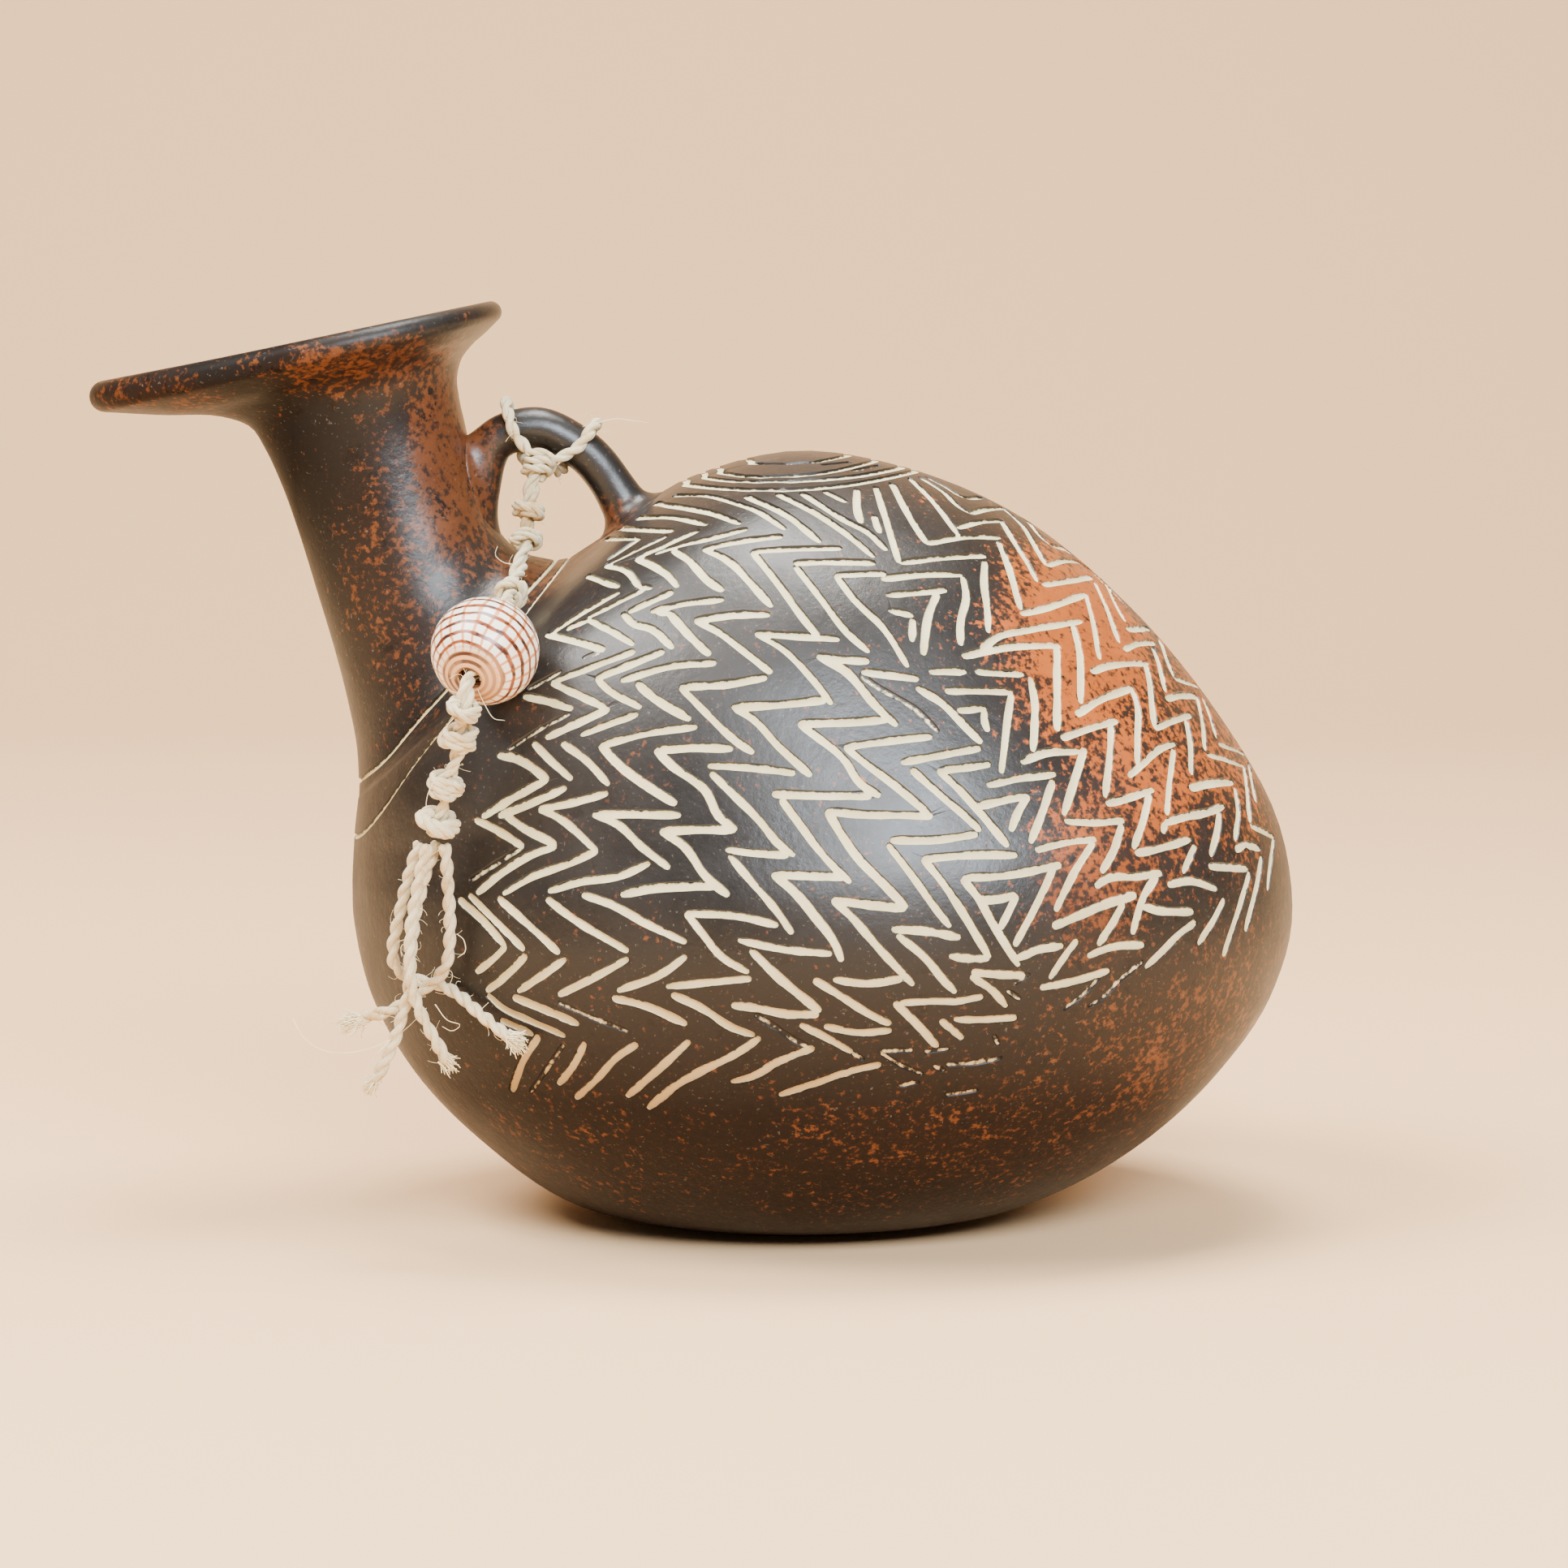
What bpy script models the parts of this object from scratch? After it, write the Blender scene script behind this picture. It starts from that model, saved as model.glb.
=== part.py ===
"""Askos: a round-bodied pouring vessel with a flaring spout, a loop handle and a beaded twine tassel.

Frame: metres, +Z up, origin at the middle of the flat underside, spout towards -X, +Y away from the viewer.
"""
import math

import bmesh
import bpy
import numpy as np
from mathutils import Vector

# Body: a deep egg, a little fuller at the back than under the spout
BODY_LENGTH = 0.1744
BODY_HEIGHT = 0.1425
BODY_DEPTH = 0.148
BODY_CENTRE_X = 0.0044
BASE_LENGTH = 0.055
BASE_WIDTH = 0.047
WALL = 0.005

# Neck, and the flaring lip on top of it
NECK_RISE = 0.0590
NECK_LEAN = 0.0296
NECK_WIDTH = 0.037
NECK_TILT = math.radians(47.0)
LIP_LENGTH = 0.0796
LIP_WIDTH = 0.064
LIP_TILT = math.radians(13.1)
LIP_BEAK = 0.12
LIP_FRONT_THICKNESS = 0.0058
LIP_BACK_THICKNESS = 0.0040

# Handle: a round bar that leaves the back of the neck and lands on the dome
HANDLE_BAR = 0.0078
HANDLE_REACH = 0.0290
HANDLE_RISE = 0.0222
HANDLE_FORWARD = 0.0142
HANDLE_LIFT = 0.0021
HANDLE_FOOT_FLARE = 1.45
HANDLE_FOOT_START = 0.78

# The handle's centre line, as shares of its reach and rise, from inside the neck's wall to inside the dome's
HANDLE_SHAPE = ((-0.050, 0.20), (-0.028, 0.47), (0.085, 0.90), (0.345, 1.00), (0.61, 0.84), (1.00, 0.17))

# Mesh fineness
RING_SIDES = 36
RING_STEP = 0.0105
INNER_RING_STEP = 0.0150
RIM_STEPS = 4
HANDLE_STEP = 0.0042
HANDLE_SIDES = 12
BEAD_MESH = (22, 11)
KNOT_MESH = (10, 5)

# The body's rings fan up from the flat underside, each from the front outline to the back outline.
# A row gives both ends: the shares of half the length, from the centre, and of the height.
BODY_RINGS = (
    (-0.560, 0.028, 0.474, 0.030),
    (-0.735, 0.105, 0.680, 0.100),
    (-0.880, 0.200, 0.850, 0.198),
    (-0.967, 0.300, 0.963, 0.305),
    (-1.000, 0.391, 1.000, 0.418),
    (-1.003, 0.434, 0.963, 0.530),
    (-1.002, 0.460, 0.845, 0.655),
    (-1.000, 0.481, 0.665, 0.790),
    (-0.998, 0.498, 0.405, 0.920),
    (-0.996, 0.514, 0.147, 0.983),
    (-0.993, 0.530, -0.060, 1.000),
    (-0.990, 0.546, -0.282, 0.966),
    (-0.988, 0.573, -0.558, 0.859),
)

# The neck's rings climb from the body to the rim, and the last ones spread out under the lip.
# A row gives the shares of the neck's rise, lean and width, of the lip's spread, and of the turn to its tilt.
NECK_RINGS = (
    (0.070, 0.130, 1.270, 0.00, -0.07),
    (0.193, 0.245, 1.130, 0.00, -0.06),
    (0.320, 0.323, 1.070, 0.00, 0.02),
    (0.455, 0.399, 1.024, 0.00, 0.18),
    (0.597, 0.473, 0.992, 0.00, 0.40),
    (0.716, 0.544, 0.986, 0.00, 0.61),
    (0.806, 0.600, 1.000, 0.02, 0.77),
    (0.867, 0.632, 1.000, 0.09, 0.86),
    (0.903, 0.690, 1.000, 0.25, 0.92),
    (0.925, 0.835, 1.000, 0.57, 0.97),
    (0.951, 0.970, 1.000, 0.88, 1.00),
)
FIRST_LIP_RING = 7

# Bead, knots and twine
BEAD_DIAMETER = 0.0190
BEAD_BORE = 0.0052
TWINE = 0.0023
STRAND = 0.0032
KNOT_CLEARANCE = 0.0005
TURN_CLEARANCE = 0.00045
TURN_END_GAP = 0.0012
CORD_STEP = 2.5

# The doubled strand's route, chosen by hand: from the top knot in the handle's hole, out over the shoulder,
# through the bead and down to the knot that binds the tassel
STRAND_ROUTE = (
    (-0.0476, -0.0066, 0.1425),
    (-0.0479, -0.0070, 0.1402),
    (-0.0490, -0.0085, 0.1363),
    (-0.0496, -0.0092, 0.1319),
    (-0.0498, -0.0121, 0.1268),
    (-0.0509, -0.0172, 0.1223),
    (-0.0520, -0.0270, 0.1181),
    (-0.0526, -0.0444, 0.1146),
    (-0.0540, -0.0495, 0.1118),
    (-0.0550, -0.0529, 0.1099),
    (-0.0560, -0.0563, 0.1080),
    (-0.0573, -0.0611, 0.1054),
    (-0.0578, -0.0626, 0.1035),
    (-0.0581, -0.0626, 0.1005),
    (-0.0591, -0.0606, 0.0955),
    (-0.0601, -0.0588, 0.0908),
    (-0.0618, -0.0575, 0.0869),
    (-0.0623, -0.0560, 0.0832),
    (-0.0632, -0.0550, 0.0800),
    (-0.0634, -0.0549, 0.0785),
)
BEAD_PLACE = 9

# Each knot on the strand: its name, its place on the route, its length and its diameter
KNOTS = (
    ("knot_top", 1, 0.0062, 0.0062),
    ("knot_upper", 3, 0.0040, 0.0064),
    ("knot_middle", 4, 0.0036, 0.0060),
    ("knot_collar", 6, 0.0036, 0.0060),
    ("knot_under_bead", 13, 0.0042, 0.0062),
    ("knot_lower", 14, 0.0054, 0.0066),
    ("knot_long", 16, 0.0050, 0.0066),
    ("knot_binding", 18, 0.0042, 0.0078),
)

# The tassel's four lengths of twine, from under the binding knot down to their frayed ends
TASSEL_ROUTES = {
    "tassel_strand_outer": (
        (-0.0668, -0.0525, 0.0762), (-0.0684, -0.0517, 0.0715), (-0.0697, -0.0505, 0.0670),
        (-0.0709, -0.0495, 0.0618), (-0.0719, -0.0485, 0.0569), (-0.0717, -0.0478, 0.0538),
        (-0.0700, -0.0473, 0.0519), (-0.0673, -0.0471, 0.0509), (-0.0640, -0.0476, 0.0503),
        (-0.0606, -0.0500, 0.0490), (-0.0568, -0.0535, 0.0464), (-0.0509, -0.0580, 0.0424)),
    "tassel_strand_middle": (
        (-0.0650, -0.0558, 0.0762), (-0.0661, -0.0558, 0.0727), (-0.0670, -0.0557, 0.0684),
        (-0.0679, -0.0556, 0.0634), (-0.0684, -0.0556, 0.0584), (-0.0684, -0.0556, 0.0541),
        (-0.0679, -0.0556, 0.0505), (-0.0669, -0.0555, 0.0471), (-0.0654, -0.0550, 0.0439),
        (-0.0622, -0.0530, 0.0375)),
    "tassel_strand_inner": (
        (-0.0637, -0.0521, 0.0762), (-0.0649, -0.0524, 0.0730), (-0.0661, -0.0526, 0.0694),
        (-0.0672, -0.0527, 0.0652), (-0.0680, -0.0527, 0.0608), (-0.0685, -0.0527, 0.0558),
        (-0.0687, -0.0527, 0.0515), (-0.0694, -0.0525, 0.0477), (-0.0705, -0.0520, 0.0441),
        (-0.0717, -0.0510, 0.0406), (-0.0753, -0.0490, 0.0330)),
    "tassel_strand_right": (
        (-0.0622, -0.0555, 0.0762), (-0.0619, -0.0547, 0.0726), (-0.0617, -0.0541, 0.0682),
        (-0.0615, -0.0534, 0.0631), (-0.0616, -0.0527, 0.0587), (-0.0621, -0.0519, 0.0551),
        (-0.0634, -0.0509, 0.0525), (-0.0654, -0.0501, 0.0506), (-0.0676, -0.0498, 0.0488),
        (-0.0700, -0.0496, 0.0471), (-0.0727, -0.0492, 0.0458), (-0.0784, -0.0484, 0.0441)),
}

# Where a turn touches the bar, in degrees from its front over the top to its underside
TURN_DEGREES = (5, 48, 90, 132, 175, 218, 255)

# The two turns of twine round the bar: the place along the handle, and which way each end leaves the top knot
TWINE_TURNS = (
    ("twine_turn_left", 0.40, (-0.50, -0.20, 0.84), (-0.50, 0.84, 0.20)),
    ("twine_turn_right", 0.65, (0.95, -0.25, 0.20), (0.60, 0.78, -0.15)),
)

CLAY = (0.035, 0.028, 0.024)
SHELL_BEAD = (0.80, 0.68, 0.52)
FLAX = (0.72, 0.62, 0.45)


def smooth_through(rows, step):
    """Points on a smooth curve through the rows: each row, and even points between rows over a step apart."""
    rows = np.asarray(rows, dtype=float)
    steps = np.linalg.norm(np.diff(rows, axis=0), axis=1)
    knots = np.concatenate(([0.0], np.cumsum(steps)))
    return smooth_at(rows, knots, places_between(knots, step))


def places_between(knots, step):
    """Each knot, and even places between knots that lie further apart than a step."""
    places = [knots[0]]
    for start, end in zip(knots, knots[1:]):
        count = max(1, math.ceil((end - start) / step))
        places += [start + (end - start) * index / count for index in range(1, count + 1)]
    return np.array(places)


def smooth_at(rows, knots, places):
    """Catmull-Rom values of the rows, which sit at the knots, read at the places."""
    slopes = np.gradient(rows, knots, axis=0)
    index = np.clip(np.searchsorted(knots, places, side="right") - 1, 0, len(knots) - 2)
    width = knots[index + 1] - knots[index]
    share = ((places - knots[index]) / width)[:, None]
    width = width[:, None]
    start = (1 + 2 * share) * (1 - share) ** 2
    end = share ** 2 * (3 - 2 * share)
    return (start * rows[index] + end * rows[index + 1]
            + share * (1 - share) ** 2 * width * slopes[index]
            + share ** 2 * (share - 1) * width * slopes[index + 1])


def body_point(share_x, share_z):
    """A place on the body's outline from its shares of half the length and of the height."""
    return BODY_CENTRE_X + share_x * BODY_LENGTH / 2, share_z * BODY_HEIGHT


def ring_rows():
    """Every ring of the pot: front end, back end, half depth and how much narrower it is at the front."""
    rows = [(-BASE_LENGTH / 2, 0.0, BASE_LENGTH / 2, 0.0, BASE_WIDTH / 2, 0.0)]
    for front_x, front_z, back_x, back_z in BODY_RINGS:
        x1, z1 = body_point(front_x, front_z)
        x2, z2 = body_point(back_x, back_z)
        reach = math.hypot((x2 - x1) / BODY_LENGTH, (z2 - z1) / BODY_HEIGHT)
        rows.append((x1, z1, x2, z2, BODY_DEPTH / 2 * reach, 0.0))
    base_x, base_z = (x1 + x2) / 2, (z1 + z2) / 2
    for rise, lean, width, spread, turn in NECK_RINGS:
        tilt = NECK_TILT + (LIP_TILT - NECK_TILT) * turn
        half = width * NECK_WIDTH / 2 + spread * (LIP_LENGTH - NECK_WIDTH) / 2
        depth = width * NECK_WIDTH / 2 + spread * (LIP_WIDTH - NECK_WIDTH) / 2
        x = base_x - lean * NECK_LEAN
        z = base_z + rise * NECK_RISE
        rows.append((x - half * math.cos(tilt), z - half * math.sin(tilt),
                     x + half * math.cos(tilt), z + half * math.sin(tilt), depth, LIP_BEAK * spread))
    return np.array(rows)


def ring_knots(rows):
    """How far along the pot each ring lies: the mean of the steps of its two ends."""
    front = np.hypot(*np.diff(rows[:, 0:2], axis=0).T)
    back = np.hypot(*np.diff(rows[:, 2:4], axis=0).T)
    return np.concatenate(([0.0], np.cumsum((front + back) / 2)))


def outer_grid(rows, knots, places, angles):
    """Points of the outer surface: a ring for each place, a point for each angle from the back."""
    ring = smooth_at(rows, knots, places)
    middle = (ring[:, 0:2] + ring[:, 2:4]) / 2
    arm = (ring[:, 2:4] - ring[:, 0:2]) / 2
    turn, rise = np.cos(angles), np.sin(angles)
    points = np.empty((len(places), len(angles), 3))
    points[:, :, 0] = middle[:, 0:1] + arm[:, 0:1] * turn
    points[:, :, 2] = middle[:, 1:2] + arm[:, 1:2] * turn
    points[:, :, 1] = ring[:, 4:5] * rise * (1 + ring[:, 5:6] * turn)
    return points


def outward_normals(rows, knots, places, angles):
    """Unit normals of the outer surface at the same grid."""
    reach = knots[-1] * 1e-4
    low = np.clip(places - reach, 0, knots[-1])
    high = np.clip(places + reach, 0, knots[-1])
    along = outer_grid(rows, knots, high, angles) - outer_grid(rows, knots, low, angles)
    around = outer_grid(rows, knots, places, angles + 1e-3) - outer_grid(rows, knots, places, angles - 1e-3)
    normal = np.cross(around, along)
    return normal / np.linalg.norm(normal, axis=2, keepdims=True)


def wall_at(places, angles, neck_top, rim):
    """The wall's thickness over the grid: even, then easing to the lip's front and back thickness."""
    lip = np.clip((places - neck_top) / (rim - neck_top), 0, 1)[:, None]
    front = (1 - np.cos(angles)) / 2
    edge = LIP_BACK_THICKNESS + (LIP_FRONT_THICKNESS - LIP_BACK_THICKNESS) * front
    return WALL + (edge - WALL) * lip


def add_ring(mesh, points):
    return [mesh.verts.new(point) for point in points]


def bridge(mesh, lower, upper):
    """Faces between two rings with as many points, turned outward when the upper ring lies further along."""
    count = len(lower)
    for side in range(count):
        after = (side + 1) % count
        mesh.faces.new((lower[side], lower[after], upper[after], upper[side]))


def finish_mesh(name, mesh, colour, roughness):
    """An object of its own from a bmesh, with its own material."""
    data = bpy.data.meshes.new(name)
    mesh.to_mesh(data)
    mesh.free()
    data.shade_smooth()
    part = bpy.data.objects.new(name, data)
    bpy.context.collection.objects.link(part)
    part.data.materials.append(plain_material(name, colour, roughness))
    return part


def plain_material(name, colour, roughness):
    material = bpy.data.materials.new(name)
    material.use_nodes = True
    shader = material.node_tree.nodes["Principled BSDF"]
    shader.inputs["Base Color"].default_value = (*colour, 1.0)
    shader.inputs["Roughness"].default_value = roughness
    shader.inputs["Metallic"].default_value = 0.0
    return material


def pot_wall():
    """The hollow pot without its handle: outer skin, rounded rim, inner skin and a flat underside."""
    rows = ring_rows()
    knots = ring_knots(rows)
    angles = np.linspace(0, 2 * math.pi, RING_SIDES, endpoint=False)
    neck_top = knots[1 + len(BODY_RINGS) + FIRST_LIP_RING]
    rim = knots[-1]
    mesh = bmesh.new()

    places = places_between(knots, RING_STEP)
    outer = outer_grid(rows, knots, places, angles)
    rings = [add_ring(mesh, ring) for ring in outer]

    edge = outer[-1]
    normal = outward_normals(rows, knots, places[-1:], angles)[0]
    thickness = wall_at(places[-1:], angles, neck_top, rim).T
    along = edge - outer[-2]
    along -= normal * np.sum(along * normal, axis=1, keepdims=True)
    along /= np.linalg.norm(along, axis=1, keepdims=True)
    centre = edge - normal * thickness / 2
    for step in range(1, RIM_STEPS):
        turn = math.pi * step / RIM_STEPS
        bulge = math.cos(turn) * normal + math.sin(turn) * along
        rings.append(add_ring(mesh, centre + thickness / 2 * bulge))

    inner_places = places_between(knots, INNER_RING_STEP)[::-1]
    inner = (outer_grid(rows, knots, inner_places, angles)
             - outward_normals(rows, knots, inner_places, angles)
             * wall_at(inner_places, angles, neck_top, rim)[:, :, None])
    inner[:, :, 2] = np.maximum(inner[:, :, 2], WALL)
    rings += [add_ring(mesh, ring) for ring in inner]

    for lower, upper in zip(rings, rings[1:]):
        bridge(mesh, lower, upper)
    mesh.faces.new(reversed(rings[0]))
    mesh.faces.new(rings[-1])
    return finish_mesh("vessel", mesh, CLAY, 0.5), rows


def tube_mesh(path, radii, sides):
    """A closed tube along a path that lies in the XZ plane."""
    mesh = bmesh.new()
    rings = []
    for index, point in enumerate(path):
        ahead = path[min(index + 1, len(path) - 1)]
        behind = path[max(index - 1, 0)]
        forward = Vector(ahead - behind).normalized()
        side = Vector((0, 1, 0))
        up = forward.cross(side)
        turns = [2 * math.pi * step / sides for step in range(sides)]
        radius = float(radii[index])
        rings.append(add_ring(mesh, [Vector(point) + radius * (math.cos(t) * up + math.sin(t) * side)
                                     for t in turns]))
    for lower, upper in zip(rings, rings[1:]):
        bridge(mesh, lower, upper)
    mesh.faces.new(reversed(rings[0]))
    mesh.faces.new(rings[-1])
    bmesh.ops.recalc_face_normals(mesh, faces=mesh.faces)
    return mesh


def handle_path(rows):
    """The handle's centre line: up the back of the neck, over, and down on to the dome."""
    saddle_x, saddle_z = rows[len(BODY_RINGS), 2:4]
    foot_x = saddle_x - HANDLE_FORWARD
    foot_z = saddle_z + HANDLE_LIFT
    places = [(foot_x + HANDLE_REACH * across, 0.0, foot_z + HANDLE_RISE * up) for across, up in HANDLE_SHAPE]
    return smooth_through(places, HANDLE_STEP)


def handle_radii(path):
    """The bar's radius along the handle, easing out into a foot where it lands on the dome."""
    share = np.linspace(0, 1, len(path))
    flare = np.clip((share - HANDLE_FOOT_START) / (1 - HANDLE_FOOT_START), 0, 1) ** 2
    return HANDLE_BAR / 2 * (1 + (HANDLE_FOOT_FLARE - 1) * flare)


def vessel():
    """The fired pot: the hollow body and neck with the handle luted on, one piece of clay."""
    pot, rows = pot_wall()
    path = handle_path(rows)
    bar = finish_mesh("handle_tool", tube_mesh(path, handle_radii(path), HANDLE_SIDES), CLAY, 0.5)
    bar.hide_render = True
    bar.display_type = "WIRE"
    union = pot.modifiers.new("handle", "BOOLEAN")
    union.operation = "UNION"
    union.object = bar
    return pot


def bored_round(name, centre, axis, sizes, fineness, colour, roughness):
    """A rounded bead or knot with a straight bore along its axis; sizes are length, diameter and bore."""
    length, diameter, bore = sizes
    sides, steps = fineness
    axis = Vector(axis).normalized()
    across = axis.orthogonal().normalized()
    third = axis.cross(across)
    edge = math.asin(bore / diameter)
    profile = []
    for step in range(steps + 1):
        turn = edge + (math.pi - 2 * edge) * step / steps
        profile.append((diameter / 2 * math.sin(turn), -length / 2 * math.cos(turn) / math.cos(edge)))
    mesh = bmesh.new()
    rings = []
    for radius, along in profile:
        turns = [2 * math.pi * side / sides for side in range(sides)]
        rings.append(add_ring(mesh, [Vector(centre) + axis * along
                                     + radius * (math.cos(t) * across + math.sin(t) * third) for t in turns]))
    for lower, upper in zip(rings, rings[1:] + rings[:1]):
        bridge(mesh, lower, upper)
    bmesh.ops.recalc_face_normals(mesh, faces=mesh.faces)
    return finish_mesh(name, mesh, colour, roughness)


def cord(name, route, diameter, colour):
    """A plain round cord along a smooth curve through its route."""
    points = smooth_through(route, CORD_STEP * diameter)
    curve = bpy.data.curves.new(name, "CURVE")
    curve.dimensions = "3D"
    curve.bevel_depth = diameter / 2
    curve.bevel_resolution = 2
    curve.use_fill_caps = True
    spline = curve.splines.new("POLY")
    spline.points.add(len(points) - 1)
    for place, point in zip(spline.points, points):
        place.co = (*point, 1.0)
    part = bpy.data.objects.new(name, curve)
    bpy.context.collection.objects.link(part)
    curve.materials.append(plain_material(name, colour, 0.9))
    return part


def turn_route(rows, share, leave, arrive):
    """One turn of twine: from the top knot up in front of the bar, over it, and back through the hole."""
    path = handle_path(rows)
    place = round(share * (len(path) - 1))
    forward = Vector(path[place + 1] - path[place - 1]).normalized()
    outward = Vector((0, -1, 0)).cross(forward)
    knot = Vector(STRAND_ROUTE[KNOTS[0][1]])
    reach = KNOTS[0][3] / 2 + TURN_END_GAP
    radius = HANDLE_BAR / 2 + TWINE / 2 + TURN_CLEARANCE
    route = [knot + Vector(leave).normalized() * reach]
    for degrees in TURN_DEGREES:
        turn = math.radians(degrees)
        around = math.sin(turn) * outward - math.cos(turn) * Vector((0, 1, 0))
        route.append(Vector(path[place]) + radius * around)
    route.append(knot + Vector(arrive).normalized() * reach)
    return [tuple(point) for point in route]


def bead_and_knots():
    """The striped bead and the knots, all threaded on the doubled strand."""
    route = np.array(STRAND_ROUTE)
    aim = route[BEAD_PLACE + 1] - route[BEAD_PLACE - 1]
    length = math.sqrt(BEAD_DIAMETER ** 2 - BEAD_BORE ** 2)
    sizes = (length, BEAD_DIAMETER, BEAD_BORE)
    bored_round("bead", route[BEAD_PLACE], aim, sizes, BEAD_MESH, SHELL_BEAD, 0.3)
    bore = STRAND + 2 * KNOT_CLEARANCE
    for name, place, length, diameter in KNOTS:
        aim = route[place + 1] - route[place - 1]
        bored_round(name, route[place], aim, (length, diameter, bore), KNOT_MESH, FLAX, 0.9)


def twine(rows):
    """All the cords: two turns round the handle, the doubled strand and the tassel's four lengths."""
    for name, share, leave, arrive in TWINE_TURNS:
        cord(name, turn_route(rows, share, leave, arrive), TWINE, FLAX)
    cord("twine_strand", STRAND_ROUTE, STRAND, FLAX)
    for name, route in TASSEL_ROUTES.items():
        cord(name, route, TWINE, FLAX)


for leftover in list(bpy.data.objects):
    bpy.data.objects.remove(leftover, do_unlink=True)

vessel()
bead_and_knots()
twine(ring_rows())
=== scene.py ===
import math

import bpy
import numpy as np
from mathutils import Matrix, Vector
from mathutils.bvhtree import BVHTree
from mathutils.geometry import delaunay_2d_cdt
from mathutils.kdtree import KDTree


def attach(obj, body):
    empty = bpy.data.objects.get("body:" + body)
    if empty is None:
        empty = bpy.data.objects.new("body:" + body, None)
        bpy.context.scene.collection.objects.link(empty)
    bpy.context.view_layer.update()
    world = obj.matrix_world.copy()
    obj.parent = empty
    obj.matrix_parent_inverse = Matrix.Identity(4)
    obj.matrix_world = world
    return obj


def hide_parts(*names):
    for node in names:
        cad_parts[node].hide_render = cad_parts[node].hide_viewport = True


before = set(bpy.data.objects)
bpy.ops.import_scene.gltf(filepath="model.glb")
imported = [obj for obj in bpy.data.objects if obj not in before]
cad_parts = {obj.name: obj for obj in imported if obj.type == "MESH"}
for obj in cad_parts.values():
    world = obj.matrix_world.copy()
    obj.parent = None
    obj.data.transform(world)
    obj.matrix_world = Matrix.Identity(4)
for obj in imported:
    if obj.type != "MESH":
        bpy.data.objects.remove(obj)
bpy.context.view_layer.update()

# The camera: a long lens a little above the pot, looking slightly down on its decorated side
# with the spout to the left. Its place also tells where a stroke seen in the photograph lies.
PHOTO_SIDE = 1932.0
FOCAL_LENGTH = 6000.0
EYE = np.array([-0.00285, -0.900, 0.1805])
LOOK_DOWN = math.radians(6.33)

camera = bpy.data.objects.new("camera", bpy.data.cameras.new("camera"))
bpy.context.collection.objects.link(camera)
camera.data.sensor_width = 36.0
camera.data.lens = 36.0 * FOCAL_LENGTH / PHOTO_SIDE
camera.data.clip_end = 20.0
camera.location = EYE
camera.rotation_euler = (math.radians(90) - LOOK_DOWN, 0, 0)
bpy.context.scene.camera = camera


# The table and lights: one pale paper sweep under and behind the pot, a large soft lamp from the upper
# left and one straight above, a broad panel by the camera that puts the sheen on the belly, and a pale room.
PAPER = (0.86, 0.548, 0.288)
SWEEP_WIDTH = 6.0
SWEEP_FRONT = -2.5
SWEEP_BEND = 0.9
SWEEP_RADIUS = 0.8
SWEEP_TOP = 3.0
SWEEP_STEPS = 16
LAMP_AIM = (0.0, 0.0, 0.08)
ROOM_LIGHT = (1.0, 0.95, 0.88)
ROOM_STRENGTH = 0.21
LAMPS = (
    ("lamp_left", (-0.95, -0.50, 1.45), (1.0, 0.8), 58.0, (1.0, 0.97, 0.93)),
    ("panel_front", (0.42, -1.20, 0.82), (0.95, 0.5), 50.0, (0.84, 0.92, 1.0)),
    ("lamp_above", (0.05, 0.05, 1.70), (0.7, 0.6), 46.0, (1.0, 0.97, 0.92)),
)


def new_material(name, **settings):
    """A material with its Principled shader's plain values set."""
    material = bpy.data.materials.new(name)
    material.use_nodes = True
    shader = material.node_tree.nodes["Principled BSDF"]
    for key, value in settings.items():
        shader.inputs[key.replace("_", " ")].default_value = value
    return material, material.node_tree, shader


def new_piece(name, points, faces, material, smooth=True):
    """An object of its own at the origin, with its place in its mesh."""
    mesh = bpy.data.meshes.new(name)
    mesh.from_pydata([tuple(point) for point in points], [], faces)
    mesh.materials.append(material)
    if smooth:
        mesh.shade_smooth()
    piece = bpy.data.objects.new(name, mesh)
    bpy.context.collection.objects.link(piece)
    return piece


paper, _, _ = new_material("pale_paper", Base_Color=(*PAPER, 1), Roughness=0.9)
profile = [(SWEEP_FRONT, 0.0), (SWEEP_BEND, 0.0)]
for step in range(1, SWEEP_STEPS + 1):
    turn = math.pi / 2 * step / SWEEP_STEPS
    profile.append((SWEEP_BEND + SWEEP_RADIUS * math.sin(turn), SWEEP_RADIUS * (1 - math.cos(turn))))
profile.append((SWEEP_BEND + SWEEP_RADIUS, SWEEP_TOP))
edges = [(side * SWEEP_WIDTH / 2, y, z) for y, z in profile for side in (-1, 1)]
sweep = new_piece("paper_sweep", edges, [(2 * row, 2 * row + 1, 2 * row + 3, 2 * row + 2)
                                         for row in range(len(profile) - 1)], paper)

for name, place, size, power, colour in LAMPS:
    lamp = bpy.data.objects.new(name, bpy.data.lights.new(name, "AREA"))
    lamp.data.shape = "RECTANGLE"
    lamp.data.size, lamp.data.size_y = size
    lamp.data.energy = power
    lamp.data.color = colour
    lamp.location = place
    lamp.rotation_euler = (Vector(LAMP_AIM) - Vector(place)).to_track_quat("-Z", "Y").to_euler()
    bpy.context.collection.objects.link(lamp)

room = bpy.data.worlds.new("room")
room.use_nodes = True
backdrop = room.node_tree.nodes["Background"]
backdrop.inputs["Color"].default_value = (*ROOM_LIGHT, 1)
backdrop.inputs["Strength"].default_value = ROOM_STRENGTH
bpy.context.scene.world = room


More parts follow.
